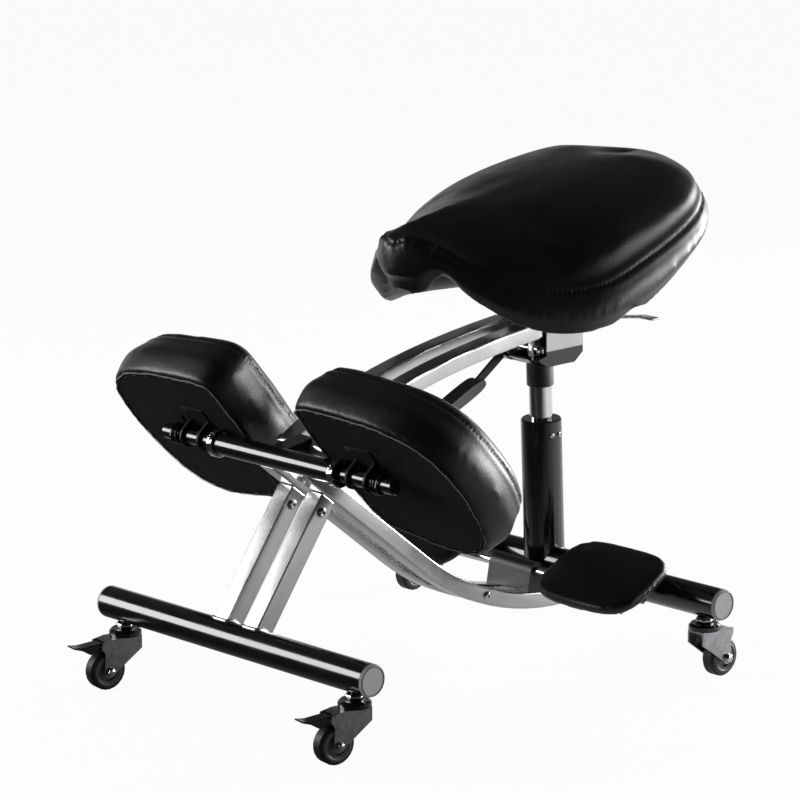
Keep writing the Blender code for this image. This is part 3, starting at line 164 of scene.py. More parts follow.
surfaces = {
    # PU-coated leathercloth, embossed: deep black satin film over pebble grain and soft creases
    "leather": {
        "name": "coatedLeather", "shader": {"IOR": 1.48, "Specular IOR Level": 0.42},
        "patterns": {"crease": ("Noise", 26, 4.0), "pebble": ("Voronoi", 2.4, 0.0),  # pebble really 1.2 mm
                     "patch": ("Noise", 60, 3.0)},
        "colour": ("patch", "#0a0a0b", "#141415"), "roughness": ("crease", 0.36, 0.45),
        "bumps": (("crease", 0.0002), ("pebble", 0.00009))},
    # knitted backing where the leathercloth is cut: a pale, fuzzy thread of an edge, its pale tone partly
    # the backing's own and partly a painted highlight
    "backingAndHighlight": {
        "name": "knitBackingAndHighlight", "shader": {"IOR": 1.53, "Specular IOR Level": 0.2},
        "patterns": {"knit": ("Noise", 1.5, 3.0)},
        "colour": ("knit", "#2c2c2d", "#8a8a8b"), "roughness": ("knit", 0.75, 0.95)},
    # spunbonded polypropylene under the pads: matt black felted fibres that swallow light
    "cover": {
        "name": "dustCover", "shader": {"IOR": 1.49, "Specular IOR Level": 0.2},
        "patterns": {"felt": ("Noise", 3.5, 6.0), "slack": ("Noise", 38, 2.0)},
        "colour": ("felt", "#060607", "#121213"), "roughness": ("felt", 0.75, 0.95),
        "bumps": (("slack", 0.0025), ("felt", 0.0003))},
    # stoved gloss enamel on steel tube: long mirror-like highlights with a faint orange peel
    "enamel": {
        "name": "blackEnamel", "shader": {"IOR": 1.52, "Coat Weight": 0.35, "Coat Roughness": 0.05},
        "patterns": {"peel": ("Noise", 5, 2.0), "rub": ("Noise", 45, 6.0)},
        "colour": ("rub", "#070708", "#101012"), "roughness": ("rub", 0.13, 0.22),
        "bumps": (("peel", 0.00004),)},
    # matt powder coat on pressed brackets: soft black with a fine, dry grain
    "powder": {
        "name": "powderCoat", "shader": {"IOR": 1.5, "Specular IOR Level": 0.35},
        "patterns": {"grain": ("Noise", 2, 3.0), "cloud": ("Noise", 30, 3.0)},
        "colour": ("cloud", "#070708", "#0f0f10"), "roughness": ("grain", 0.5, 0.66),
        "bumps": (("grain", 0.00006),)},
    # aluminium-flake lacquer on square tube: bright grey that turns dark away from the light
    "silver": {
        "name": "silverLacquer", "shader": {"Metallic": 0.92, "Coat Weight": 0.25, "Coat Roughness": 0.12},
        "patterns": {"flake": ("Voronoi", 1.6, 0.0), "drift": ("Noise", 40, 3.0)},  # flakes really 0.05 mm
        "colour": ("flake", "#b4b5b6", "#bfc0c0"), "roughness": ("drift", 0.2, 0.27),
        "bumps": (("flake", 0.000004),)},
    # polished nickel-chrome plating: a hard mirror with the faintest haze
    "chrome": {
        "name": "chromePlate", "shader": {"Metallic": 1.0},
        "patterns": {"haze": ("Noise", 22, 5.0)},
        "colour": ("haze", "#c4c5c6", "#dcdddd"), "roughness": ("haze", 0.05, 0.14)},
    # bright zinc on stamped sheet: cool grey, cloudy spangle and fine drawing lines
    "zinc": {
        "name": "zincPlate", "shader": {"Metallic": 1.0},
        "patterns": {"spangle": ("Voronoi", 4, 0.0), "lines": ("Noise", 9, 8.0)},
        "colour": ("spangle", "#9a9c9d", "#aaacad"), "roughness": ("lines", 0.2, 0.36),
        "bumps": (("lines", 0.00002),)},
    # glass-filled nylon mouldings: dull black, textured by the spark-eroded tool
    "black": {
        "name": "blackNylon", "shader": {"IOR": 1.53},
        "patterns": {"spark": ("Noise", 1.8, 4.0), "cloud": ("Noise", 18, 2.0)},
        "colour": ("cloud", "#0a0a0b", "#131314"), "roughness": ("spark", 0.38, 0.53),
        "bumps": (("spark", 0.00008),)},
    # polythene tube caps: plain light grey with a waxy bloom
    "grey": {
        "name": "greyPolythene", "shader": {"IOR": 1.51},
        "patterns": {"spark": ("Noise", 1.5, 4.0), "cloud": ("Noise", 18, 2.0)},
        "colour": ("cloud", "#8b8d8e", "#9b9d9e"), "roughness": ("spark", 0.45, 0.6),
        "bumps": (("spark", 0.00008),)},
    # polypropylene wheel centres and rings: mid grey, half matt
    "hub": {
        "name": "greyPolypropylene", "shader": {"IOR": 1.49},
        "patterns": {"spark": ("Noise", 1.5, 4.0), "cloud": ("Noise", 18, 2.0)},
        "colour": ("cloud", "#3a3c3e", "#4c4e50"), "roughness": ("spark", 0.35, 0.5),
        "bumps": (("spark", 0.00008),)},
    # moulded thermoplastic rubber: charcoal, a little dusty where it has rolled
    "rubber": {
        "name": "tyreRubber", "shader": {"IOR": 1.5, "Specular IOR Level": 0.35},
        "patterns": {"dust": ("Noise", 6, 6.0)},
        "colour": ("dust", "#0a0a0b", "#1a1b1c"), "roughness": ("dust", 0.42, 0.6)},
    # blued and oiled spring wire: near black with a thin bright edge
    "spring": {
        "name": "oiledSpringSteel", "shader": {"Metallic": 1.0},
        "patterns": {"oil": ("Noise", 4, 3.0)},
        "colour": ("oil", "#2a2a2c", "#4a4a4d"), "roughness": ("oil", 0.25, 0.4)},
    # bonded polyester thread: dull black dashes, hardly lighter than the leather
    "thread": {
        "name": "bondedThread", "shader": {"IOR": 1.53, "Specular IOR Level": 0.25},
        "patterns": {"twist": ("Noise", 1.5, 2.0)},
        "colour": ("twist", "#080809", "#1d1d1f"), "roughness": ("twist", 0.7, 0.9)},
}


bracketFinish = {
    "dip": "#0a0a0b", "darkReflectionTop": (0.3655, 0.3665),  # metres up, where the painted dark reflection under the pan gives way to zinc
    "zinc": ("#8f9091", "#aaabac"), "cloud": 30, "roughness": 0.24,
}


def bracketSteel():
    # pressed bright-zinced steel; below a set height the pan is painted gloss black, a painted dark
    # reflection
    how = bracketFinish
    material = bpy.data.materials.new("bracketSteel")
    material.use_nodes = True
    tree = material.node_tree
    surface = tree.nodes["Principled BSDF"]
    place = addNode(tree, "ShaderNodeTexCoord").outputs["Object"]
    height = addNode(tree, "ShaderNodeSeparateXYZ", {0: place})
    start, end = how["darkReflectionTop"]
    # 0 under the top edge of the painted dark reflection, 1 above it
    dip = addNode(tree, "ShaderNodeMapRange", {"Value": height.outputs["Z"], "From Min": start,
                                               "From Max": end, "To Min": 0.0, "To Max": 1.0})
    cloud = addNode(tree, "ShaderNodeTexNoise", {"Vector": place, "Scale": perMm(how["cloud"]),
                                                 "Detail": 4.0})
    dull, bright = (linear(tone) for tone in how["zinc"])
    steel = addNode(tree, "ShaderNodeMix", {0: cloud.outputs["Fac"], 6: dull, 7: bright}, data_type="RGBA")
    # painted dark reflection: black below that height, zinc above
    tint = addNode(tree, "ShaderNodeMix", {0: dip.outputs["Result"], 6: linear(how["dip"]),
                                           7: steel.outputs[2]}, data_type="RGBA")
    tree.links.new(tint.outputs[2], surface.inputs["Base Color"])
    tree.links.new(dip.outputs["Result"], surface.inputs["Metallic"])
    surface.inputs["Roughness"].default_value = how["roughness"]
    return material


def makeMaterials():
    materials = {key: makeMaterial(**surface) for key, surface in surfaces.items()}
    materials["bracket"] = bracketSteel()
    return materials


# Stage

studio = {
    "room": 0.25,  # what lights the chair all round
    "sweepTop": (0.02, 0.3), "ceiling": 0.08,  # by how steeply a reflected ray rises
    "behind": (-0.45, 0.89, 0), "sweepEnds": (-0.25, 0.35), "front": 0.12,  # by its heading
    "paper": "#e6e6e6", "floorHalf": 15, "glowToLens": 0.95,
    "shade": (-0.4, 0.7), "shadeLevels": (0.03, 1.0),  # from the front of the floor to the back
}


def makeStage():
    how = studio
    scene = bpy.context.scene
    scene.view_settings.view_transform = "Standard"
    world = bpy.data.worlds.new("studio")
    scene.world = world
    world.use_nodes = True
    tree = world.node_tree
    tree.nodes.clear()
    rays = addNode(tree, "ShaderNodeLightPath").outputs
    along = addNode(tree, "ShaderNodeTexCoord").outputs["Generated"]
    up = addNode(tree, "ShaderNodeSeparateXYZ", {0: along})
    # polished metal sees a white sweep behind the chair, a dim ceiling and a dark room in front
    start, end = how["sweepTop"]
    low = addNode(tree, "ShaderNodeMapRange", {"Value": up.outputs["Z"], "From Min": start, "From Max": end,
                                               "To Min": 1.0, "To Max": how["ceiling"]})
    behind = addNode(tree, "ShaderNodeVectorMath", {0: along, 1: how["behind"]}, operation="DOT_PRODUCT")
    start, end = how["sweepEnds"]
    sweep = addNode(tree, "ShaderNodeMapRange", {"Value": behind.outputs["Value"], "From Min": start,
                                                 "From Max": end, "To Min": how["front"], "To Max": 1.0})
    walls = addNode(tree, "ShaderNodeMath", {0: low.outputs["Result"], 1: sweep.outputs["Result"]},
                    operation="MULTIPLY")
    room = addNode(tree, "ShaderNodeBackground", {"Color": linear("#ffffff"), "Strength": how["room"]})
    seen = addNode(tree, "ShaderNodeBackground", {"Color": linear("#ffffff"),
                                                  "Strength": walls.outputs["Value"]})
    white = addNode(tree, "ShaderNodeBackground", {"Color": linear("#ffffff"), "Strength": 1.0})
    shiny = addNode(tree, "ShaderNodeMath", {0: rays["Is Glossy Ray"], 1: rays["Is Transmission Ray"]},
                    operation="MAXIMUM")
    first = addNode(tree, "ShaderNodeMixShader", {0: shiny.outputs[0], 1: room.outputs[0],
                                                  2: seen.outputs[0]})
    last = addNode(tree, "ShaderNodeMixShader", {0: rays["Is Camera Ray"], 1: first.outputs[0],
                                                 2: white.outputs[0]})
    addNode(tree, "ShaderNodeOutputWorld", {"Surface": last.outputs[0]})

    mesh = bpy.data.meshes.new("studioFloor")
    half = how["floorHalf"]
    corners = [(-half, -half, 0), (half, -half, 0), (half, half, 0), (-half, half, 0)]
    mesh.from_pydata(corners, [], [(0, 1, 2, 3)])
    floor = bpy.data.objects.new("studioFloor", mesh)
    scene.collection.objects.link(floor)
    material = bpy.data.materials.new("paperFloor")
    material.use_nodes = True
    tree = material.node_tree
    tree.nodes.clear()
    rays = addNode(tree, "ShaderNodeLightPath").outputs
    paper = addNode(tree, "ShaderNodeBsdfDiffuse", {"Color": linear(how["paper"])})
    # reflections see the paper bright behind the chair and in shade in front of it
    spot = addNode(tree, "ShaderNodeNewGeometry").outputs["Position"]
    depth = addNode(tree, "ShaderNodeSeparateXYZ", {0: spot})
    (start, end), (dim, full) = how["shade"], how["shadeLevels"]
    lit = addNode(tree, "ShaderNodeMapRange", {"Value": depth.outputs["Y"], "From Min": start,
                                               "From Max": end, "To Min": dim, "To Max": full})
    level = addNode(tree, "ShaderNodeMath", {0: rays["Is Glossy Ray"], 1: lit.outputs["Result"],
                                             2: rays["Is Camera Ray"]}, operation="MULTIPLY_ADD")
    glow = addNode(tree, "ShaderNodeEmission", {"Color": linear("#ffffff"), "Strength": level.outputs[0]})
    share = addNode(tree, "ShaderNodeMath", {0: rays["Is Camera Ray"], 1: how["glowToLens"],
                                             2: rays["Is Glossy Ray"]}, operation="MULTIPLY_ADD")
    mix = addNode(tree, "ShaderNodeMixShader", {0: share.outputs[0], 1: paper.outputs[0],
                                                2: glow.outputs[0]})
    addNode(tree, "ShaderNodeOutputMaterial", {"Surface": mix.outputs[0]})
    mesh.materials.append(material)


# Finishes of the solids that stay

finishes = {
    "enamel": ["front_tube", "rear_tube", "knee_bar", "knee_shaft", "gas_column",
               "front_left_brake_pedal", "front_right_brake_pedal", *[f"{name}_stem" for name in casters]],
    "powder": ["tilt_lever", "left_foot_plate", "right_foot_plate", "left_knee_bracket",
               "right_knee_bracket"],
    "silver": ["left_leg", "right_leg", "left_lower_arc", "right_lower_arc", "left_upper_arc",
               "right_upper_arc", "arc_yoke"],
    "chrome": ["left_knee_collar", "right_knee_collar", "foot_bar", "piston_rod", "bracket_pin",
               "hinge_bolt"],
    "bracket": ["seat_bracket"],
    "zinc": ["height_lever", *[f"{name}_fork" for name in casters]],
    "black": ["foot_bar_clamp", "taper_collar", "tilt_lever_grip"],
    "cover": ["left_knee_board", "right_knee_board"],
    "grey": [f"{name}_tube_cap" for name in casters],
    "hub": [f"{name}_hub" for name in casters],
    "rubber": [f"{name}_tyre" for name in casters],
    "spring": ["left_knee_spring", "right_knee_spring"],
}


shading = {"merge": 0.00002, "sharp": 32.0, "flat": 100}  # metres, degrees, pull of large faces


def dressSolids(materials):
    for finish, nodes in finishes.items():
        for node in nodes:
            solid = frame["nodes"][node]
            solid.data.materials.clear()
            solid.data.materials.append(materials[finish])
            for attribute in ("custom_normal", "sharp_face"):
                if attribute in solid.data.attributes:
                    solid.data.attributes.remove(solid.data.attributes[attribute])
            solid.data.polygons.foreach_set("use_smooth", [True] * len(solid.data.polygons))
            weld = solid.modifiers.new("joinCorners", "WELD")
            weld.merge_threshold = shading["merge"]
            split = solid.modifiers.new("keepEdges", "EDGE_SPLIT")
            split.split_angle = math.radians(shading["sharp"])
            flatten = solid.modifiers.new("flatFaces", "WEIGHTED_NORMAL")
            flatten.weight = shading["flat"]


# Mesh helpers

def newPiece(name, bm, material, body):
    mesh = bpy.data.meshes.new(name)
    bm.normal_update()
    bm.to_mesh(mesh)
    bm.free()
    mesh.polygons.foreach_set("use_smooth", [True] * len(mesh.polygons))
    mesh.materials.append(material)
    piece = bpy.data.objects.new(name, mesh)
    bpy.context.scene.collection.objects.link(piece)
    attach(piece, body)
    return piece


def ringsInto(bm, rings, closed=True):
    # skins rings of equal length; a closed skin gets a fan at each end
    made = [[bm.verts.new(p) for p in ring] for ring in rings]
    for low, high in zip(made, made[1:]):
        for i in range(len(low)):
            j = (i + 1) % len(low)
            bm.faces.new((low[i], low[j], high[j], high[i]))
    if closed:
        bm.faces.new(reversed(made[0]))
        bm.faces.new(made[-1])


def turnedInto(bm, profile, spot, count=20, hexFrom=None):
    # turns (radius, along z) points about z; from ring hexFrom on, the rings are six-sided
    rings = []
    for k, (radius, along) in enumerate(profile):
        ring = []
        for i in range(count):
            angle = 2 * math.pi * i / count
            reach = radius
            if hexFrom is not None and k >= hexFrom:
                reach = radius * math.cos(math.pi / 6) / math.cos(angle % (math.pi / 3) - math.pi / 6)
            ring.append(spot @ Vector((reach * math.cos(angle), reach * math.sin(angle), along)))
        rings.append(ring)
    ringsInto(bm, rings)


def tubeInto(bm, path, radius, count=8, closed=False):
    # sweeps a circle along a path; radius may be a list, one for each point
    total = len(path)
    rings = []
    across = None
    for i, here in enumerate(path):
        ahead = path[(i + 1) % total] if closed or i + 1 < total else here
        behind = path[i - 1] if closed or i else here
        along = (ahead - behind).normalized()
        if across is None:
            across = along.orthogonal().normalized()
        across = (across - along * across.dot(along)).normalized()
        other = along.cross(across)
        size = radius[i] if isinstance(radius, list) else radius
        rings.append([here + (across * math.cos(a) + other * math.sin(a)) * size
                      for a in (2 * math.pi * k / count for k in range(count))])
    if closed:
        rings.append(rings[0])
        ringsInto(bm, rings, closed=False)
        bmesh.ops.remove_doubles(bm, verts=bm.verts, dist=0.000005)
    else:
        ringsInto(bm, rings)


def smoothLoop(stations, steps):
    # closed curve through given stations
    points = [Vector(s) for s in stations]
    count = len(points)
    loop = []
    for i in range(count):
        p, q, r, s = (points[(i + k) % count] for k in (-1, 0, 1, 2))
        for step in range(steps):
            t = step / steps
            loop.append(q + 0.5 * ((r - p) * t + (2 * p - 5 * q + 4 * r - s) * t * t
                                   + (3 * q - p - 3 * r + s) * t ** 3))
    return loop


def evened(loop, pitch):
    # the same closed curve with points a pitch apart
    lengths = [(loop[(i + 1) % len(loop)] - loop[i]).length for i in range(len(loop))]
    count = max(int(sum(lengths) / pitch), 3)
    gap = sum(lengths) / count
    places, run, k = [], 0.0, 0
    for i in range(count):
        target = i * gap
        while run + lengths[k] < target:
            run += lengths[k]
            k += 1
        share = (target - run) / lengths[k]
        places.append(loop[k].lerp(loop[(k + 1) % len(loop)], share))
    return places


# Padded pieces

def foamFrom(*nodes, hull=False):
    # the CAD solids as one welded mesh, with the recess filled where it is a plain convex pad
    bm = bmesh.new()
    for node in nodes:
        bm.from_mesh(frame["nodes"][node].data)
    bmesh.ops.remove_doubles(bm, verts=bm.verts, dist=0.00001)
    if hull:
        bmesh.ops.convex_hull(bm, input=bm.verts)
        bmesh.ops.delete(bm, geom=[v for v in bm.verts if not v.link_faces], context="VERTS")
    bmesh.ops.recalc_face_normals(bm, faces=bm.faces)
    return bm


def points(mesh):
    flat = np.empty(len(mesh.vertices) * 3, np.float32)
    mesh.vertices.foreach_get("co", flat)
    return flat.reshape(-1, 3).astype(float)


def setPoints(mesh, places):
    mesh.vertices.foreach_set("co", places.astype(np.float32).ravel())
    mesh.update()


def applied(piece):
    # bakes the modifiers into the mesh
    graph = bpy.context.evaluated_depsgraph_get()
    mesh = bpy.data.meshes.new_from_object(piece.evaluated_get(graph))
    piece.modifiers.clear()
    piece.data = mesh


def normalsOf(mesh):
    flat = np.empty(len(mesh.vertices) * 3, np.float32)
    mesh.vertex_normals.foreach_get("vector", flat)
    return flat.reshape(-1, 3).astype(float)


def settle(mesh, rounds, free):
    # evens out lumps and facets without shrinking; free is 1, or less where the skin is held
    edges = np.empty(len(mesh.edges) * 2, np.int32)
    mesh.edges.foreach_get("vertices", edges)
    one, two = edges.reshape(-1, 2).T
    places = points(mesh)
    count = np.bincount(edges, minlength=len(places))[:, None]
    for share in (0.5, -0.515) * rounds:  # in, then out a little more, so that nothing shrinks
        total = np.zeros_like(places)
        np.add.at(total, one, places[two])
        np.add.at(total, two, places[one])
        places += share * free * (total / count - places)
    setPoints(mesh, places)


clothFrames = 20


def upholster(piece, how, isHeld, floor=None):
    # foam under a stretched skin: drawn in or let out a little, remeshed, then blown up as cloth
    mesh = piece.data
    places = points(mesh) - normalsOf(mesh) * how["drawnIn"]
    if floor:  # the underside stays on its plane
        axis, level = floor
        below = np.minimum(places @ axis - level, 0)
        places -= below[:, None] * axis
    setPoints(mesh, places)
    remesh = piece.modifiers.new("voxels", "REMESH")
    remesh.mode = "VOXEL"
    remesh.voxel_size = how["voxel"]
    applied(piece)
    mesh = piece.data
    start = points(mesh)
    held = np.array([isHeld(p, n) for p, n in zip(start, normalsOf(mesh))])
    free = np.where(held, how["heldShare"], 1.0)[:, None]
    settle(mesh, how["smooth"], free)
    start = points(mesh)
    piece.vertex_groups.new(name="heldDown").add([int(i) for i in np.flatnonzero(held)], 1.0, "REPLACE")
    cloth = piece.modifiers.new("cover", "CLOTH")
    cloth.settings.quality = 4
    cloth.settings.bending_stiffness = how["stiffness"]
    cloth.settings.use_pressure = True
    cloth.settings.uniform_pressure_force = how["pressure"]
    cloth.settings.effector_weights.gravity = 0
    cloth.settings.vertex_group_mass = "heldDown"
    cloth.point_cache.frame_end = clothFrames
    for step in range(1, clothFrames + 1):
        bpy.context.scene.frame_set(step)
    graph = bpy.context.evaluated_depsgraph_get()
    shift = points(piece.evaluated_get(graph).data) - start
    piece.modifiers.clear()
    bpy.context.scene.frame_set(1)
    reach = np.linalg.norm(shift, axis=1, keepdims=True)
    print(f"{piece.name}: swelled {reach.mean() * 1000:.1f} mm, at most {reach.max() * 1000:.1f}")
    setPoints(mesh, start + shift * np.minimum(1, how["cap"] / np.maximum(reach, 1e-9)))
    settle(mesh, how["taut"], free)
    finer = piece.modifiers.new("finer", "SUBSURF")
    finer.levels = finer.render_levels = 1
    applied(piece)
    piece.data.polygons.foreach_set("use_smooth", [True] * len(piece.data.polygons))
    print(f"{piece.name}: {len(piece.data.vertices)} points")


def surfaceOf(piece):
    bm = bmesh.new()
    bm.from_mesh(piece.data)
    tree = BVHTree.FromBMesh(bm)
    bm.free()
    return tree


def laidOn(surface, loop):
    # each point with the skin's place and normal nearest to it
    return [surface.find_nearest(p)[:2] for p in loop]


def pullTo(piece, lines, reach, rounds):
    # draws the skin out to the lines where its panels are sewn and stretched
    surface = surfaceOf(piece)
    targets = [p for line in lines for p in line]
    seats = [surface.find_nearest(p)[0] for p in targets]
    tree = KDTree(len(seats))
    for i, p in enumerate(seats):
        tree.insert(p, i)
    tree.balance()
    places = points(piece.data)
    for i, p in enumerate(places):
        total, shift = 0.0, Vector()
        for _, index, away in tree.find_range(Vector(p), reach * 2):
            share = math.exp(-(away / reach) ** 2)
            total += share
            shift += (targets[index] - seats[index]) * share
        if total:
            nearest = tree.find(Vector(p))[2]
            places[i] = p + np.array(shift / total) * math.exp(-(nearest / reach) ** 2)
    setPoints(piece.data, places)
    settle(piece.data, rounds, 1.0)


def sewSeam(piece, loop, how, gathers=None):
    # pulls the skin in along a seam and lets it swell beside it; gathers are pleats near one spot
    tree = KDTree(len(loop))
    for i, p in enumerate(loop):
        tree.insert(p, i)
    tree.balance()
    mesh = piece.data
    places = points(mesh)
    normals = normalsOf(mesh)
    for i, p in enumerate(places):
        _, index, away = tree.find(Vector(p))
        if away > how["reach"]:
            continue
        lift = -how["depth"] * math.exp(-(away / how["width"]) ** 2)
        lift += how["swell"] * math.exp(-((away - 3 * how["width"]) / (1.5 * how["width"])) ** 2)
        if gathers:
            close = math.exp(-((Vector(p) - gathers["at"]).length / gathers["spread"]) ** 2)
            turns = 2 * math.pi * index * how["pitch"] / gathers["wave"]
            drift, beat = gathers["uneven"]
            wave = math.sin(turns + drift * math.sin(index * beat))
            lift += gathers["height"] * close * wave * math.exp(-(away / gathers["length"]) ** 2)
        places[i] = p + normals[i] * lift
    setPoints(mesh, places)


def stitchInto(bm, seats, how, offset):
    # short threads laid along a seam, each dipping into the skin at its ends
    count = len(seats)
    for i in range(count):
        (here, normal), (ahead, _) = seats[i], seats[(i + 1) % count]
        along = ahead - here
        if along.length < how["stitch"] * 0.3:
            continue
        along = along.normalized()
        aside = normal.cross(along).normalized() * offset
        half = along * how["stitch"] / 2
        base = here + aside + half
        dip, rise = normal * how["thread"] * 0.7, normal * how["thread"] * 0.5
        path = [base - half * 1.05 - dip, base - half * 0.6 + rise,
                base + half * 0.6 + rise, base + half * 1.05 - dip]
        tubeInto(bm, path, how["thread"], 6)


# Saddle

saddle = {
    "drawnIn": 0.001, "voxel": 0.0045, "smooth": 40, "heldShare": 0.6, "stiffness": 12.0, "pressure": 4.0,
    "cap": 0.004, "taut": 60, "held": -0.35,  # the skin is held where it faces down more than this
    "seatBack": 0.4936,  # from the front tube
    "planeHeight": 0.45974, "planeSlope": 0.29053,  # the board's top
    # across, back, height of the seam and of the lower edge over the board
    "edge": ((0.000, -0.247, 0.135, 0.070), (0.025, -0.236, 0.137, 0.065), (0.046, -0.216, 0.119, 0.082),
             (0.075, -0.195, 0.093, 0.054), (0.116, -0.155, 0.062, 0.014), (0.148, -0.108, 0.038, -0.012),
             (0.168, -0.062, 0.031, -0.020), (0.172, 0.000, 0.035, -0.020), (0.165, 0.067, 0.039, -0.007),
             (0.145, 0.119, 0.042, 0.001), (0.095, 0.168, 0.043, 0.005), (0.000, 0.200, 0.044, 0.006)),
    "bulge": 0.012, "bulgeSkew": 0.75, "lines": 13, "linePitch": 0.006, "pull": 0.012, "eased": 12,
    "easedTop": 0.003,
    "noseTuck": (0.020, 0.035),  # how far the nose's lower edge runs back, and over what length
    "hollow": (-0.155, 0.045, 0.060, 0.024),  # the nose's arch: back, half length, half width, rise
    "reach": 0.022, "depth": 0.0016, "width": 0.0022, "swell": 0.0005, "pitch": 0.0056,
    "stitch": 0.0042, "thread": 0.00045, "rows": (-0.0042,), "leverGap": 0.0025, "leverFade": 0.045,
}
pleats = {"spread": 0.050, "wave": 0.0085, "uneven": (1.7, 0.9), "height": 0.002, "length": 0.010}


def onSeat(across, back, height):
    # back and height as the seat board's plane gives them
    return Vector((across, middle("front_tube").y + saddle["seatBack"] + back,
                   saddle["planeHeight"] + saddle["planeSlope"] * back + height))


def wholeEdge(half):
    # one side's stations, mirrored and run round as a smooth closed line
    return smoothLoop(half + [Vector((-p.x, p.y, p.z)) for p in half[-2:0:-1]], 12)


def clearLever(piece, how):
    # lifts the underside over the height lever's way up
    pull = next(j for j in frame["joints"] if j["name"] == "height_lever_pull")
    pivot = Matrix.Translation(pull["pos_m"])
    lever = foamFrom("height_lever")
    turn = Matrix.Rotation(math.radians(max(pull["range_deg"])), 4, Vector(pull["axis"]))
    bmesh.ops.transform(lever, matrix=pivot @ turn @ pivot.inverted(), verts=lever.verts)
    raisedLever = BVHTree.FromBMesh(lever)
    lever.free()
    low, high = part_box("height_lever")
    y = (low.y + high.y) / 2
    places, normals = points(piece.data), normalsOf(piece.data)
    for i, p in enumerate(places):
        beside = max(abs(p[1] - y) - (high.y - low.y) / 2 - how["leverGap"], 0)
        if beside > how["leverFade"] or normals[i][2] > 0.2:
            continue
        top = raisedLever.ray_cast(Vector((p[0], y, 1)), Vector((0, 0, -1)))[0]
        if top and top.z + how["leverGap"] > p[2]:
            share = 0.5 + 0.5 * math.cos(math.pi * beside / how["leverFade"])
            places[i][2] += (top.z + how["leverGap"] - p[2]) * share
    setPoints(piece.data, places)


def makeSaddle(materials):
    how = saddle
    piece = newPiece("saddleCover", foamFrom("saddle_cushion"), materials["leather"], "seat")
    upholster(piece, how, lambda p, n: n[2] < how["held"])  # the underside lies on its board
    places, normals = points(piece.data), normalsOf(piece.data)
    back, length, width, rise = how["hollow"]
    away = ((places[:, 1] - onSeat(0, back, 0).y) / length) ** 2 + (places[:, 0] / width) ** 2
    places[:, 2] += rise * np.exp(-away) * np.clip(-normals[:, 2] * 2, 0, 1)
    places[:, 2] -= how["easedTop"] * np.clip(normals[:, 2] * 2 - 0.6, 0, 1)
    setPoints(piece.data, places)
    seam = wholeEdge([onSeat(x, y, top) for x, y, top, _ in how["edge"]])
    tuck, length = how["noseTuck"]
    nose = how["edge"][0][1]
    lower = wholeEdge([onSeat(x, y + tuck * math.exp(-((y - nose) / length) ** 2), low)
                       for x, y, _, low in how["edge"]])
    wall = []
    for k in range(how["lines"]):
        share = k / (how["lines"] - 1)
        line = []
        for i, (up, down) in enumerate(zip(seam, lower)):
            along = seam[(i + 1) % len(seam)] - seam[i - 1]
            out = Vector((along.y, -along.x, 0)).normalized()
            swell = how["bulge"] * math.sin(math.pi * share ** how["bulgeSkew"])
            line.append(up.lerp(down, share) + out * swell)
        wall.append(evened(line, how["linePitch"]))
    pullTo(piece, wall, how["pull"], how["eased"])
    clearLever(piece, how)
    loop = evened(seam, how["pitch"])
    seats = laidOn(surfaceOf(piece), loop)
    sewSeam(piece, [place for place, _ in seats], how, {**pleats, "at": seam[0]})
    seats = laidOn(surfaceOf(piece), [place for place, _ in seats])
    bm = bmesh.new()
    for offset in how["rows"]:
        stitchInto(bm, seats, how, offset)
    newPiece("saddleStitching", bm, materials["thread"], "seat")
    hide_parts("saddle_cushion")


# Seat board under the saddle

seatBoard = {
    "halfWidth": 0.110, "front": -0.052, "rear": 0.110, "corner": 0.045, "thickness": 0.0095,
    "gap": 0.0004, "edge": 0.0012, "edgeShare": 0.012,  # rounded edge, down and in
    "screws": ((0.072, -0.020), (0.072, 0.060)), "screwSize": 0.9,  # across and back
}


def makeSeatBoard(materials):
    # ply, cut back at the nose so that the saddle can dip there
    how = seatBoard
    normal = Vector((0, -saddle["planeSlope"], 1)).normalized()
    outline = []
    r = how["corner"]
    for x, y, turn in ((1, 1, 0), (-1, 1, 90), (-1, 0, 180), (1, 0, 270)):
        cx = x * (how["halfWidth"] - r)
        cy = how["rear"] - r if y else how["front"] + r
        for k in range(9):
            angle = math.radians(turn + k * 90 / 8)
            outline.append((cx + r * math.cos(angle), cy + r * math.sin(angle)))
    gap, thickness = how["gap"], how["thickness"]
    edge, share = how["edge"], how["edgeShare"]
    rings = []
    for inset, depth in ((share, gap), (0, gap + edge), (0, thickness - edge), (share, thickness)):
        rings.append([onSeat(x * (1 - inset), y * (1 - inset), 0) - normal * depth for x, y in outline])
    bm = bmesh.new()
    ringsInto(bm, rings)
    piece = newPiece("seatBoardPly", bm, materials["cover"], "seat")
    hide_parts("seat_board")
    bm = bmesh.new()
    for x, y in how["screws"]:
        for sign in (1, -1):
            place = onSeat(sign * x, y, 0) - normal * thickness
            buttonHead(bm, place, -normal, how["screwSize"])
    newPiece("seatBoardScrews", bm, materials["zinc"], "seat")


# Knee pads

knee = {
    "drawnIn": -0.004, "voxel": 0.0045, "smooth": 14, "heldShare": 0.3, "stiffness": 9.0, "pressure": 4.0,
    "cap": 0.005, "taut": 50,
    "slope": 50.0,  # degrees, front edge up
    "standoff": 0.018, "seamHeight": 0.0603,
    "reach": 0.02, "depth": 0.0016, "width": 0.0024, "swell": 0.0006, "pitch": 0.0056,
    "stitch": 0.0042, "thread": 0.00045, "rows": (0.004,),
    "hold": 0.004, "letOut": (0.015, 0.004), "frontFade": (0.35, 0.12), "lowerEdge": 0.0195, "lines": 12,
    "linePitch": 0.005, "bulge": 0.007, "pull": 0.012, "eased": 12, "sunk": 0.0004,
    "coverPitch": 0.004, "coverInset": -0.004, "coverShare": 0.95, "coverDrop": 0.0012, "hem": 0.0009,
    "staple": 0.010, "stapleWire": 0.00045, "stapleGap": 0.027, "stapleInset": 0.004,
    "wander": {"cut": (90, 0.0022), "staple": (40, 0.002)},  # how often in a metre, and how far
}


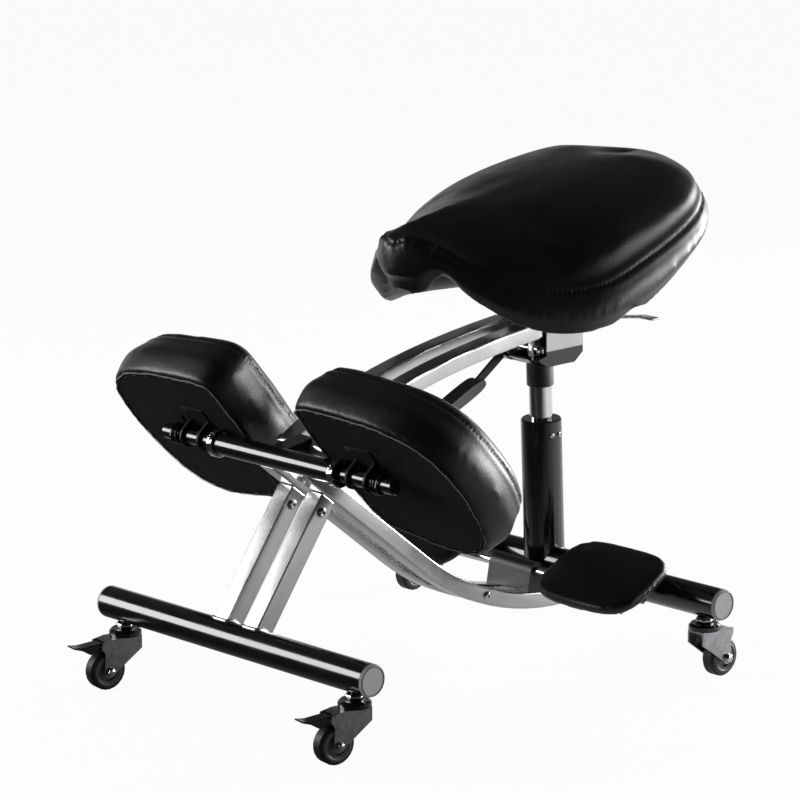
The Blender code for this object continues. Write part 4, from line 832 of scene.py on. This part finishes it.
def padFrame():
    # x across, y down the slope, z out of the pad, from the knee shaft's axis
    slope = math.radians(knee["slope"])
    down = Vector((0, math.cos(slope), -math.sin(slope)))
    rows = Matrix((Vector((1, 0, 0)), down, Vector((1, 0, 0)).cross(down))).transposed().to_4x4()
    return Matrix.Translation(middle("knee_shaft")) @ rows


def loopAt(node, spot, height, margin=0.0006):
    # the CAD pad's outline at one height, in the pad's own plane
    inside = spot.inverted()
    found = [inside @ v.co for v in frame["nodes"][node].data.vertices]
    ring = [p for p in found if abs(p.z - height) < margin]
    centre = sum(ring, Vector()) / len(ring)
    ring.sort(key=lambda p: math.atan2(p.y - centre.y, p.x - centre.x))
    kept = [ring[0]]
    for p in ring[1:]:
        if (p - kept[-1]).length > 0.0005:
            kept.append(p)
    return kept, centre


def frontShare(p, centre):
    # 1 along the front edge, 0 at the rear
    start, length = knee["frontFade"]
    return min(max(start - (p.y - centre.y) / length, 0), 1)


def letOut(node, spot, share):
    # a line round the pad's wall, from its lower edge to its seam, let out where the foam is fullest
    how = knee
    ring, centre = loopAt(node, spot, how["standoff"] + how["seamHeight"])
    low, high = how["letOut"]
    line = []
    for p in evened(ring, how["linePitch"]):
        out = (low + (high - low) * share) * frontShare(p, centre)
        out += how["bulge"] * math.sin(math.pi * share)
        place = p + (p - centre).normalized() * out
        place.z = how["lowerEdge"] + (p.z - how["lowerEdge"]) * share
        line.append(spot @ place)
    return line


def makeDustCover(side, spot, materials, body):
    how = knee
    edge, centre = loopAt(f"{side}_knee_board", spot, how["standoff"])
    ring = []
    often, far = how["wander"]["cut"]
    for p in evened(edge, how["coverPitch"]):
        wobble = noise.noise(p * often) * far
        out = how["letOut"][0] * frontShare(p, centre) * how["coverShare"]
        ring.append(p + (centre - p).normalized() * (how["coverInset"] - out + wobble))
    bm = bmesh.new()
    level = how["standoff"] - how["coverDrop"]
    shares = (0.0, 0.03, 0.12, 0.35, 0.7)
    rows = [[bm.verts.new(spot @ Vector((*(p.lerp(centre, t)).xy, level))) for p in ring] for t in shares]
    for low, high in zip(rows, rows[1:]):
        for i in range(len(ring)):
            j = (i + 1) % len(ring)
            bm.faces.new((low[i], low[j], high[j], high[i]))
    bm.faces.new(rows[-1])
    newPiece(f"{side}KneeDustCover", bm, materials["cover"], body)

    bm = bmesh.new()  # the cut edge of the leathercloth, fullest along the front and thin behind; its pale colour is partly a painted highlight
    hem = [spot @ Vector((p.x, p.y, level - how["hem"] * (0.7 + 0.4 * noise.noise(p * 130)))) for p in ring]
    sizes = [how["hem"] * (0.35 + 0.65 * frontShare(p, centre)) * (1 + 0.5 * noise.noise(p * 160))
             for p in ring]
    tubeInto(bm, hem, sizes, 8, closed=True)
    newPiece(f"{side}KneeHem", bm, materials["backingAndHighlight"], body)

    bm = bmesh.new()
    edge = evened(ring, how["stapleGap"])
    often, far = how["wander"]["staple"]
    for i, p in enumerate(edge):
        along = (edge[(i + 1) % len(edge)] - p).normalized()
        inward = (centre - p).normalized() * how["stapleInset"]
        half = along * how["staple"] / 2
        turn = noise.noise(p * often) * far
        low = Vector((0, 0, -how["stapleWire"] - 0.0002))
        leg = Vector((0, 0, 0.0008))
        path = [inward - half + leg, inward - half + low, inward + half + low, inward + half + leg]
        tubeInto(bm, [spot @ (Vector((p.x, p.y, level)) + q + Vector((turn, 0, 0))) for q in path],
                 how["stapleWire"], 5)
    newPiece(f"{side}KneeStaples", bm, materials["spring"], body)


def makeKneePads(materials):
    how = knee
    spot = padFrame()
    inside = np.array(spot.inverted())
    first = None
    for side in sides:
        body = f"{side}_knee_pad"
        node = f"{side}_knee_cushion"
        piece = newPiece(f"{side}KneeCover", foamFrom(node, f"{side}_knee_board", hull=True),
                         materials["leather"], body)
        if first is None:
            axis = inside[2, :3]
            level = how["standoff"] - inside[2, 3] - how["sunk"]
            upholster(piece, how, lambda p, n: axis @ p < level + how["hold"], (axis, level))
            wall = [letOut(node, spot, k / (how["lines"] - 1)) for k in range(how["lines"])]
            pullTo(piece, wall, how["pull"], how["eased"])
            places = points(piece.data)
            places -= np.minimum(places @ axis - level, 0)[:, None] * axis
            setPoints(piece.data, places)
            first = piece
        else:  # the other pad is the first one's mirror image
            bm = bmesh.new()
            bm.from_mesh(first.data)
            bmesh.ops.transform(bm, matrix=Matrix.Scale(-1, 4, (1, 0, 0)), verts=bm.verts)
            bmesh.ops.reverse_faces(bm, faces=bm.faces)
            bm.to_mesh(piece.data)
            bm.free()
            piece.data.polygons.foreach_set("use_smooth", [True] * len(piece.data.polygons))
        loop = evened(letOut(node, spot, 1.0), how["pitch"])
        seats = laidOn(surfaceOf(piece), loop)
        if piece is first:
            sewSeam(piece, [place for place, _ in seats], how)
        seats = laidOn(surfaceOf(piece), [place for place, _ in seats])
        bm = bmesh.new()
        for offset in how["rows"]:
            stitchInto(bm, seats, how, offset)
        newPiece(f"{side}KneeStitching", bm, materials["thread"], body)
        makeDustCover(side, spot, materials, body)
        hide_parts(node)


# Foot pads

foot = {"drawnIn": 0.0, "voxel": 0.004, "smooth": 10, "heldShare": 0.3, "stiffness": 6.0, "pressure": 3.0,
        "cap": 0.0025, "taut": 14, "slope": 26.0, "hold": 0.004}


def makeFootPads(materials):
    slope = math.radians(foot["slope"])
    axis = np.array((0, -math.sin(slope), math.cos(slope)))
    for side in sides:
        node = f"{side}_foot_cushion"
        piece = newPiece(f"{side}FootCover", foamFrom(node, hull=True), materials["leather"],
                         f"{side}_foot_pad")
        level = (points(frame["nodes"][node].data) @ axis).min()
        upholster(piece, foot, lambda p, n: axis @ p < level + foot["hold"])
        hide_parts(node)


# Fasteners and trim

bolt = {"radius": 0.0062, "height": 0.0038, "socket": 0.0026, "depth": 0.0022}


def facing(place, direction):
    quaternion = Vector(direction).to_track_quat("Z", "Y")
    return Matrix.Translation(place) @ quaternion.to_matrix().to_4x4()


def buttonHead(bm, place, direction, size=1.0):
    r, h = bolt["radius"] * size, bolt["height"] * size
    socket, depth = bolt["socket"] * size, bolt["depth"] * size
    profile = [(r, 0.0), (r, h * 0.25), (r * 0.9, h * 0.62), (r * 0.68, h * 0.92), (r * 0.5, h),
               (socket, h), (socket, h - depth), (socket * 0.2, h - depth * 1.05)]
    turnedInto(bm, profile, facing(place, direction), 24, hexFrom=5)


# back from the front tube, up, size
frameBolts = {"leg": (0.098, 0.235, 1.0), "lower_arc": (0.367, 0.084, 0.85)}


def makeBolts(materials):
    front = middle("front_tube").y
    bm = bmesh.new()
    for side in sides:
        for sense in (1, -1):
            for bar, (back, up, size) in frameBolts.items():
                low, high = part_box(f"{side}_{bar}")
                face = high.x if sense > 0 else low.x
                buttonHead(bm, Vector((face, front + back, up)), (sense, 0, 0), size)
    newPiece("frameBolts", bm, materials["chrome"], "frame")


casterTrim = {
    # nuts as radius and height
    "stemNut": ((0.0098, 0.0), (0.0112, 0.0008), (0.0112, 0.0054), (0.0098, 0.0062)), "stemLift": 0.0085,
    "axleNut": ((0.0046, 0.0), (0.0052, 0.0006), (0.0052, 0.0028), (0.0046, 0.0034)), "axleSunk": 0.0012,
    "axleNear": 0.008,  # the part of the fork that the nuts sit on, about the axle
    "bead": 0.0022, "beadShare": 0.72, "beadOut": 0.0076,  # of the tyre's radius, and from its middle
}


def makeCasterTrim(materials):
    how = casterTrim
    for name in casters:
        axis = middle(f"{name}_stem")
        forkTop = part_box(f"{name}_fork")[1].z
        bm = bmesh.new()
        spot = Matrix.Translation((axis.x, axis.y, forkTop + how["stemLift"]))
        turnedInto(bm, how["stemNut"], spot, 24, hexFrom=0)
        newPiece(f"{name}_stem_nut", bm, materials["chrome"], "frame")

        tyre = middle(f"{name}_tyre")
        low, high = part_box(f"{name}_tyre")
        reach = (high.z - low.z) / 2 * how["beadShare"]
        trail = Vector((tyre.x - axis.x, tyre.y - axis.y, 0)).normalized()
        axle = Vector((-trail.y, trail.x, 0))
        bm = bmesh.new()
        for sense in (1, -1):
            side = facing(tyre, axle * sense)
            ring = [side @ Vector((reach * math.cos(a), reach * math.sin(a), how["beadOut"]))
                    for a in (2 * math.pi * k / 40 for k in range(40))]
            tubeInto(bm, ring, how["bead"], 8, closed=True)
        newPiece(f"{name}_tyre_bead", bm, materials["hub"], f"{name}_wheel")

        across = [axle.dot(v.co - tyre) for v in frame["nodes"][f"{name}_fork"].data.vertices
                  if (v.co - tyre - axle * axle.dot(v.co - tyre)).length < how["axleNear"]]
        bm = bmesh.new()
        for sense in (1, -1):
            base = (max(across) if sense > 0 else -min(across)) - how["axleSunk"]
            turnedInto(bm, how["axleNut"], facing(tyre + axle * sense * base, axle * sense), 24, hexFrom=0)
        newPiece(f"{name}_axle_nuts", bm, materials["chrome"], f"{name}_caster")


collarScrew = {"rise": 35.0, "sunk": 0.0004, "size": 0.6}  # degrees up from the front


def makeCollarScrews(materials):
    rise = math.radians(collarScrew["rise"])
    out = Vector((0, -math.cos(rise), math.sin(rise)))
    bm = bmesh.new()
    for side in sides:
        low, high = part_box(f"{side}_knee_collar")
        reach = (high.z - low.z) / 2 - collarScrew["sunk"]
        buttonHead(bm, (low + high) / 2 + out * reach, out, collarScrew["size"])
    newPiece("collarScrews", bm, materials["chrome"], "frame")


tubeTrim = {
    "lipRadius": 0.0165, "lip": 0.0007, "columnTop": 0.004,
    "screwTurns": (-14.5, 14.5), "screwOut": 0.0247, "screwDrop": 0.017, "screwSize": 0.55,
}


def makeTubeTrim(materials):
    # a darker lip round each tube cap, and two screws near the top of the gas column
    how = tubeTrim
    bm = bmesh.new()
    for name in casters:
        low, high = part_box(f"{name}_tube_cap")
        centre = (low + high) / 2
        outside = high.x if centre.x > 0 else low.x
        rim = Vector((outside, centre.y, centre.z))
        ring = [rim + Vector((0, math.cos(a), math.sin(a))) * how["lipRadius"]
                for a in (2 * math.pi * k / 48 for k in range(48))]
        tubeInto(bm, ring, how["lip"], 8, closed=True)
    newPiece("tubeCapLips", bm, materials["hub"], "frame")
    bm = bmesh.new()
    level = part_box("gas_column")[1].z - how["columnTop"]
    top = [v.co for v in frame["nodes"]["gas_column"].data.vertices if v.co.z > level]
    axis = sum(top, Vector()) / len(top)
    for turn in how["screwTurns"]:
        out = Vector((math.cos(math.radians(turn)), math.sin(math.radians(turn)), 0))
        place = axis + out * how["screwOut"] - Vector((0, 0, how["screwDrop"]))
        buttonHead(bm, place, out, how["screwSize"])
    newPiece("columnScrews", bm, materials["zinc"], "frame")


weld = {"radius": 0.0022, "ripple": 0.0006, "pitch": 0.0022, "lean": 35.8, "steps": 12}


def makeWelds(materials):
    # laid beads where the legs meet the front tube, under the same paint
    tube = middle("front_tube")
    radius = (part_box("front_tube")[1].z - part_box("front_tube")[0].z) / 2
    lean = math.radians(weld["lean"])
    along = Vector((0, math.sin(lean), math.cos(lean)))
    ahead = Vector((0, -math.cos(lean), math.sin(lean)))
    bm = bmesh.new()
    for side in sides:
        low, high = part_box(f"{side}_leg")
        half = (high.x - low.x) / 2
        centre = (low.x + high.x) / 2
        corners = [(-half, -half), (half, -half), (half, half), (-half, half)]
        path = []
        for i, (x, f) in enumerate(corners):
            nextX, nextF = corners[(i + 1) % 4]
            for k in range(weld["steps"]):
                share = k / weld["steps"]
                px, pf = x + (nextX - x) * share, f + (nextF - f) * share
                rise = math.sqrt(max(radius ** 2 - pf ** 2, 0))
                path.append(Vector((centre + px, tube.y, tube.z)) + ahead * pf + along * rise)
        path = evened(path, weld["pitch"])
        sizes = [weld["radius"] + weld["ripple"] * (1 if i % 2 else -1) for i in range(len(path))]
        tubeInto(bm, path, sizes, 8, closed=True)
    newPiece("legWelds", bm, materials["silver"], "frame")


# Put together

makeCamera()
makeLamps()
makeStage()
materials = makeMaterials()
dressSolids(materials)
print("solids dressed")
makeSaddle(materials)
makeSeatBoard(materials)
makeKneePads(materials)
makeFootPads(materials)
print("pads upholstered")
makeBolts(materials)
makeCasterTrim(materials)
makeCollarScrews(materials)
makeTubeTrim(materials)
makeWelds(materials)
print("trim fitted")
